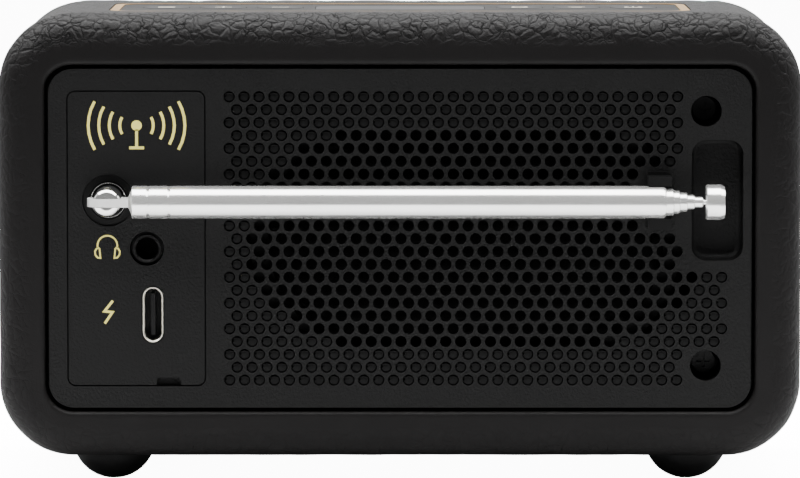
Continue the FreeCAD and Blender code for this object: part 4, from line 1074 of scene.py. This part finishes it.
@dataclass
class KeySymbols:
    """Printed symbols on the six key caps.

    Attributes:
        film: Thickness of the ink, mm.
    """

    film: float = 0.03

    def bar(self, name: str, at: Vector, length: float, width: float, along_x: bool = True) -> bpy.types.Object:
        """Print a straight line on a cap.

        Args:
            name: Name for the piece.
            at: Middle of the line on the cap, in metres.
            length: Its length, mm.
            width: Its width, mm.
            along_x: True if it runs along X.

        Returns:
            The line.
        """
        half = Vector((length, width, 0) if along_x else (width, length, 0)) * MM / 2
        piece = block(name, at - half, at + half + Vector((0, 0, self.film * MM)))
        choose(piece, "EDGE", lambda a, b: abs(a.z - b.z) > self.film * MM / 2)
        bpy.ops.mesh.bevel(offset=width * MM * 0.3, segments=2, affect="EDGES")
        return done(piece)

    def ring(self, name: str, at: Vector, radius: float, width: float, gap: float) -> bpy.types.Object:
        """Print a ring with a gap towards -Y.

        Args:
            name: Name for the piece.
            at: Middle of the ring on the cap, in metres.
            radius: Middle radius, mm.
            width: Line width, mm.
            gap: Angle left open, degrees.

        Returns:
            The ring.
        """
        deselect()
        bpy.ops.mesh.primitive_cylinder_add(
            vertices=36, radius=(radius + width / 2) * MM, depth=self.film * MM,
            location=at + Vector((0, 0, self.film / 2)) * MM,
        )
        piece = named(name)
        choose(piece, "FACE", lambda middle, normal: abs(normal.z) > 0.9)
        bpy.ops.mesh.inset(thickness=width * MM)
        bpy.ops.object.mode_set(mode="OBJECT")
        inner = (radius - width / 2) * MM * 1.02
        choose(
            piece, "FACE",
            lambda middle, normal: abs(normal.z) > 0.9 and (middle - at).xy.length < inner * 0.5,
        )
        bpy.ops.mesh.bridge_edge_loops()
        bpy.ops.object.mode_set(mode="OBJECT")
        if gap:
            choose(
                piece, "FACE",
                lambda middle, normal: abs(math.degrees(math.atan2(middle.x - at.x, at.y - middle.y))) < gap / 2,
            )
            bpy.ops.mesh.delete(type="FACE")
            bpy.ops.mesh.select_all(action="SELECT")
            bpy.ops.mesh.fill_holes(sides=4)
            bpy.ops.object.mode_set(mode="OBJECT")
        return done(piece)

    def build(self, key: str) -> bpy.types.Object:
        """Print the symbol of one key.

        Args:
            key: Its CAD node.

        Returns:
            The symbol.
        """
        low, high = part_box(key)
        at = Vector(((low.x + high.x) / 2, (low.y + high.y) / 2, high.z))
        name = key + "_symbol"
        if key == "button_power":
            ring = self.ring(name, at, 1.35, 0.3, 70)
            return join(name, [ring, self.bar(name, at - Vector((0, 1.0, 0)) * MM, 1.5, 0.3, False)])
        if key == "button_volume_down":
            return self.bar(name, at, 2.8, 0.34)
        if key == "button_volume_up":
            return join(name, [self.bar(name, at, 2.8, 0.34), self.bar(name, at, 2.8, 0.34, False)])
        if key == "button_menu":
            rows = [self.bar(name, at + Vector((0, d, 0)) * MM, 2.8, 0.3) for d in (-0.85, 0.0, 0.85)]
            return join(name, rows)
        if key == "button_preset":
            return self.ring(name, at, 1.2, 0.32, 0.0)
        arrow = [self.bar(name, at + Vector((0, d, 0)) * MM, length, 0.3) for d, length in ((-0.6, 2.8), (0.6, 1.8))]
        return join(name, arrow)


# ---------------------------------------------------------------- studio


@dataclass
class Studio:
    """Pale floor, soft light from above and behind, and the camera.

    Attributes:
        distance: Camera to the radio's middle, metres.
        elevation: Camera height above the horizon, degrees.
        lens: Focal length for a 36 mm wide sensor, mm.
        overhead: Brightness of the light above.
        near: Brightness of the studio on the camera's side.
        far: Brightness of the studio on the other side.
        paper: Brightness of the bare backdrop.
        painted_shade_reach: Distance from the radio beyond which the floor's colour is darkened as painted shade,
            metres.
    """

    distance: float = 1.0
    elevation: float = 4.8
    lens: float = 272.0
    overhead: float = 1.0
    near: float = 0.45
    far: float = 2.3
    paper: float = 12.0
    painted_shade_reach: float = 0.2

    def floor(self) -> bpy.types.Object:
        """Lay the pale floor.

        Returns:
            The floor.
        """
        deselect()
        bpy.ops.mesh.primitive_circle_add(vertices=96, radius=6.0, fill_type="NGON", location=(0, 0, 0))
        piece = named("studio_floor")
        paper = bpy.data.materials.new("matt studio paper")
        paper.use_nodes = True
        shader = paper.node_tree.nodes["Principled BSDF"]
        place = add_node(paper.node_tree, "TexCoord", {}, {}).outputs["Object"]
        away = add_node(paper.node_tree, "VectorMath", {"operation": "LENGTH"}, {0: place}).outputs["Value"]
        # painted shade: the floor's colour falls from 0.72 to 0.12 beyond the distance set above
        painted_floor_shade = add_node(
            paper.node_tree, "MapRange", {"interpolation_type": "SMOOTHSTEP"},
            {"Value": away, "From Min": self.painted_shade_reach - 0.05, "From Max": self.painted_shade_reach + 0.05, "To Min": 0.72, "To Max": 0.12},
        )
        paper.node_tree.links.new(painted_floor_shade.outputs["Result"], shader.inputs["Base Color"])
        shader.inputs["Roughness"].default_value = 0.95
        shader.inputs["Specular IOR Level"].default_value = 0.1
        shader.inputs["Emission Color"].default_value = linear("#FFFFFF")
        seen = add_node(paper.node_tree, "LightPath", {}, {}).outputs["Is Camera Ray"]
        glow = add_node(paper.node_tree, "Math", {"operation": "MULTIPLY"}, {0: seen, 1: self.paper})
        paper.node_tree.links.new(glow.outputs["Value"], shader.inputs["Emission Strength"])
        piece.data.materials.append(paper)
        return piece

    def sky(self) -> None:
        """Light the studio softly: bright above and behind, dimmer on the camera's side."""
        world = bpy.data.worlds.new("studio")
        bpy.context.scene.world = world
        world.use_nodes = True
        tree = world.node_tree
        tree.nodes.clear()
        way = add_node(tree, "TexCoord", {}, {}).outputs["Generated"]
        parts = add_node(tree, "SeparateXYZ", {}, {"Vector": way})
        top = add_node(
            tree, "MapRange", {"interpolation_type": "SMOOTHSTEP"},
            {"Value": parts.outputs["Z"], "From Min": 0.72, "From Max": 0.86, "To Max": self.overhead},
        )
        behind = add_node(
            tree, "MapRange", {"interpolation_type": "SMOOTHSTEP"},
            {"Value": parts.outputs["Y"], "From Min": 0.25, "From Max": -0.35, "To Min": self.near, "To Max": self.far},
        )
        level = add_node(
            tree, "Math", {"operation": "MAXIMUM"}, {0: top.outputs["Result"], 1: behind.outputs["Result"]}
        )
        soft = add_node(tree, "Background", {}, {"Strength": level.outputs["Value"]})
        paper = add_node(tree, "Background", {}, {"Strength": self.paper})
        seen = add_node(tree, "LightPath", {}, {}).outputs["Is Camera Ray"]
        mix = add_node(tree, "MixShader", {}, {0: seen, 1: soft.outputs[0], 2: paper.outputs[0]})
        output = add_node(tree, "OutputWorld", {}, {})
        tree.links.new(mix.outputs[0], output.inputs["Surface"])

    def lamp(self, name: str, place: Point, size: tuple[float, float], power: float) -> None:
        """Hang a soft box that points at the radio.

        Args:
            name: Name for the lamp.
            place: Where it hangs, in metres.
            size: Its width and depth, in metres.
            power: Power in watts.
        """
        deselect()
        bpy.ops.object.light_add(type="AREA", location=place)
        lamp = bpy.context.object
        lamp.name = name
        lamp.data.shape = "RECTANGLE"
        lamp.data.size, lamp.data.size_y = size
        lamp.data.energy = power
        toward = Vector((0, 0, 0.04)) - Vector(place)
        lamp.rotation_euler = toward.to_track_quat("-Z", "Y").to_euler()

    def camera(self) -> None:
        """Set up the camera behind the radio, a little above it."""
        low, high = CAD_BOX
        aim = (Vector(low) + Vector(high)) / 2 - Vector((0, 0, 0.16 * MM))
        tilt = math.radians(self.elevation)
        place = aim + Vector((0, math.cos(tilt), math.sin(tilt))) * self.distance
        deselect()
        bpy.ops.object.camera_add(location=place)
        camera = bpy.context.object
        camera.name = "camera"
        camera.data.lens = self.lens
        camera.data.sensor_width = 36.0
        camera.data.clip_start = 0.01
        camera.rotation_euler = (aim - place).to_track_quat("-Z", "Y").to_euler()
        bpy.context.scene.camera = camera

    def build(self) -> None:
        """Build the whole studio."""
        self.floor()
        self.sky()
        self.lamp("top_soft_box", (0.0, -0.02, 0.65), (1.4, 0.85), 42.0)
        self.camera()


# ---------------------------------------------------------------- CAD pieces that keep their shape

CAD_FINISHES: dict[Finish, tuple[str, ...]] = {
    PANEL_ABS: ("back_panel", "rear_grille", "socket_panel", "control_plate"),
    SOCKET_ABS: ("headphone_jack", "usb_tongue", "aerial_clip", "turret_collar", "key_switches"),
    SHELL_ABS: ("cabinet_shell", "front_baffle", "radiator_frame", "radiator_disc", "board_pillars", "battery_tray"),
    RUBBER: ("rubber_feet", "speaker_surround", "radiator_surround"),
    POLISHED: ("aerial_turret",),
    SATIN: ("aerial_base_fitting",),
    CHROME: (
        "aerial_tube_1", "aerial_tube_2", "aerial_tube_3",
        "aerial_tube_4", "aerial_tube_5", "aerial_rod", "aerial_tip",
    ),
    STEEL: ("usb_shell", "turret_nut", "hinge_pin", "speaker_screws", "board_screws", "shield_can"),
    BRASS: ("control_bezel", "front_trim_ring"),
    POWDER_COAT: ("front_grille", "speaker_basket"),
    ACRYLIC: ("display_window",),
    LCD: ("display_module",),
    SOLDER_MASK: ("key_board", "main_board", "socket_board"),
    FERRITE: ("speaker_magnet",),
    PULP: ("speaker_cone", "dust_cap"),
    COPPER: ("voice_coil",),
    SHRINK_FILM: ("battery_cell",),
    BLACK_OXIDE: ("back_screws",),
    RED_WIRE: ("speaker_lead", "battery_lead"),
    BLACK_WIRE: ("aerial_lead",),
    SILICONE: (
        "button_power", "button_source", "button_preset", "button_volume_down", "button_volume_up", "button_menu",
    ),
}


def dress_cad() -> None:
    """Give every CAD piece that stays its finish."""
    for finish, nodes in CAD_FINISHES.items():
        for node in nodes:
            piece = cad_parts[node]
            piece.data.materials.clear()
            piece.data.materials.append(finish.make())
            log.info("%s: %s", node, finish.name)


def paint_cup_shade() -> None:
    """Paint shade into the turret's cup: its floor, its wall and the foot of the fork get a dark material as painted
    shade and painted dark reflection.
    """
    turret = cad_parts["aerial_turret"]
    low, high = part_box("aerial_turret")
    x, z = (low.x + high.x) / 2, (low.z + high.z) / 2
    # painted shade: the cup's faces chosen below get this dark material
    turret.data.materials.append(PAINTED_CUP_SHADE.make())
    count = 0
    for face in turret.data.polygons:
        away = math.hypot(face.center.x - x, face.center.z - z) / MM
        outward = (face.normal.x * (face.center.x - x) + face.normal.z * (face.center.z - z)) / MM / max(away, 0.1)
        inner_wall = 2.5 < away < 2.75 and outward < -0.5
        floor = 2.2 < away < 2.75 and face.normal.y > 0.7 and face.center.y < high.y - 1.2 * MM
        foot = 2.2 < away < 2.5 and outward > 0.8
        if inner_wall or floor or foot:
            face.material_index = 1
            count += 1
    log.info("turret cup: %d faces", count)


def main() -> None:
    """Build the radio's looks and its studio."""
    logging.basicConfig(level=logging.INFO, format="%(message)s")
    Studio().build()
    dress_cad()
    paint_cup_shade()
    rear = LeatherEnd(end=End.REAR).build("rear_leather_cover")
    dress(rear, LEATHER, stands_for=("rear_leather_cover",))
    front = LeatherEnd(end=End.FRONT).build("front_leather_cover")
    dress(front, LEATHER, stands_for=("front_leather_cover",))
    wrap = LeatherWrap().build()
    dress(wrap, LEATHER, stands_for=("leather_wrap",))
    for mark in PrintedMarks().build():
        dress(mark, INK)
    dress(BlindDimples().build(), SHADED_DIMPLE_ABS)
    for key in CAD_FINISHES[SILICONE]:
        dress(KeySymbols().build(key), KEY_INK, body=key)


if __name__ == "__main__":
    main()
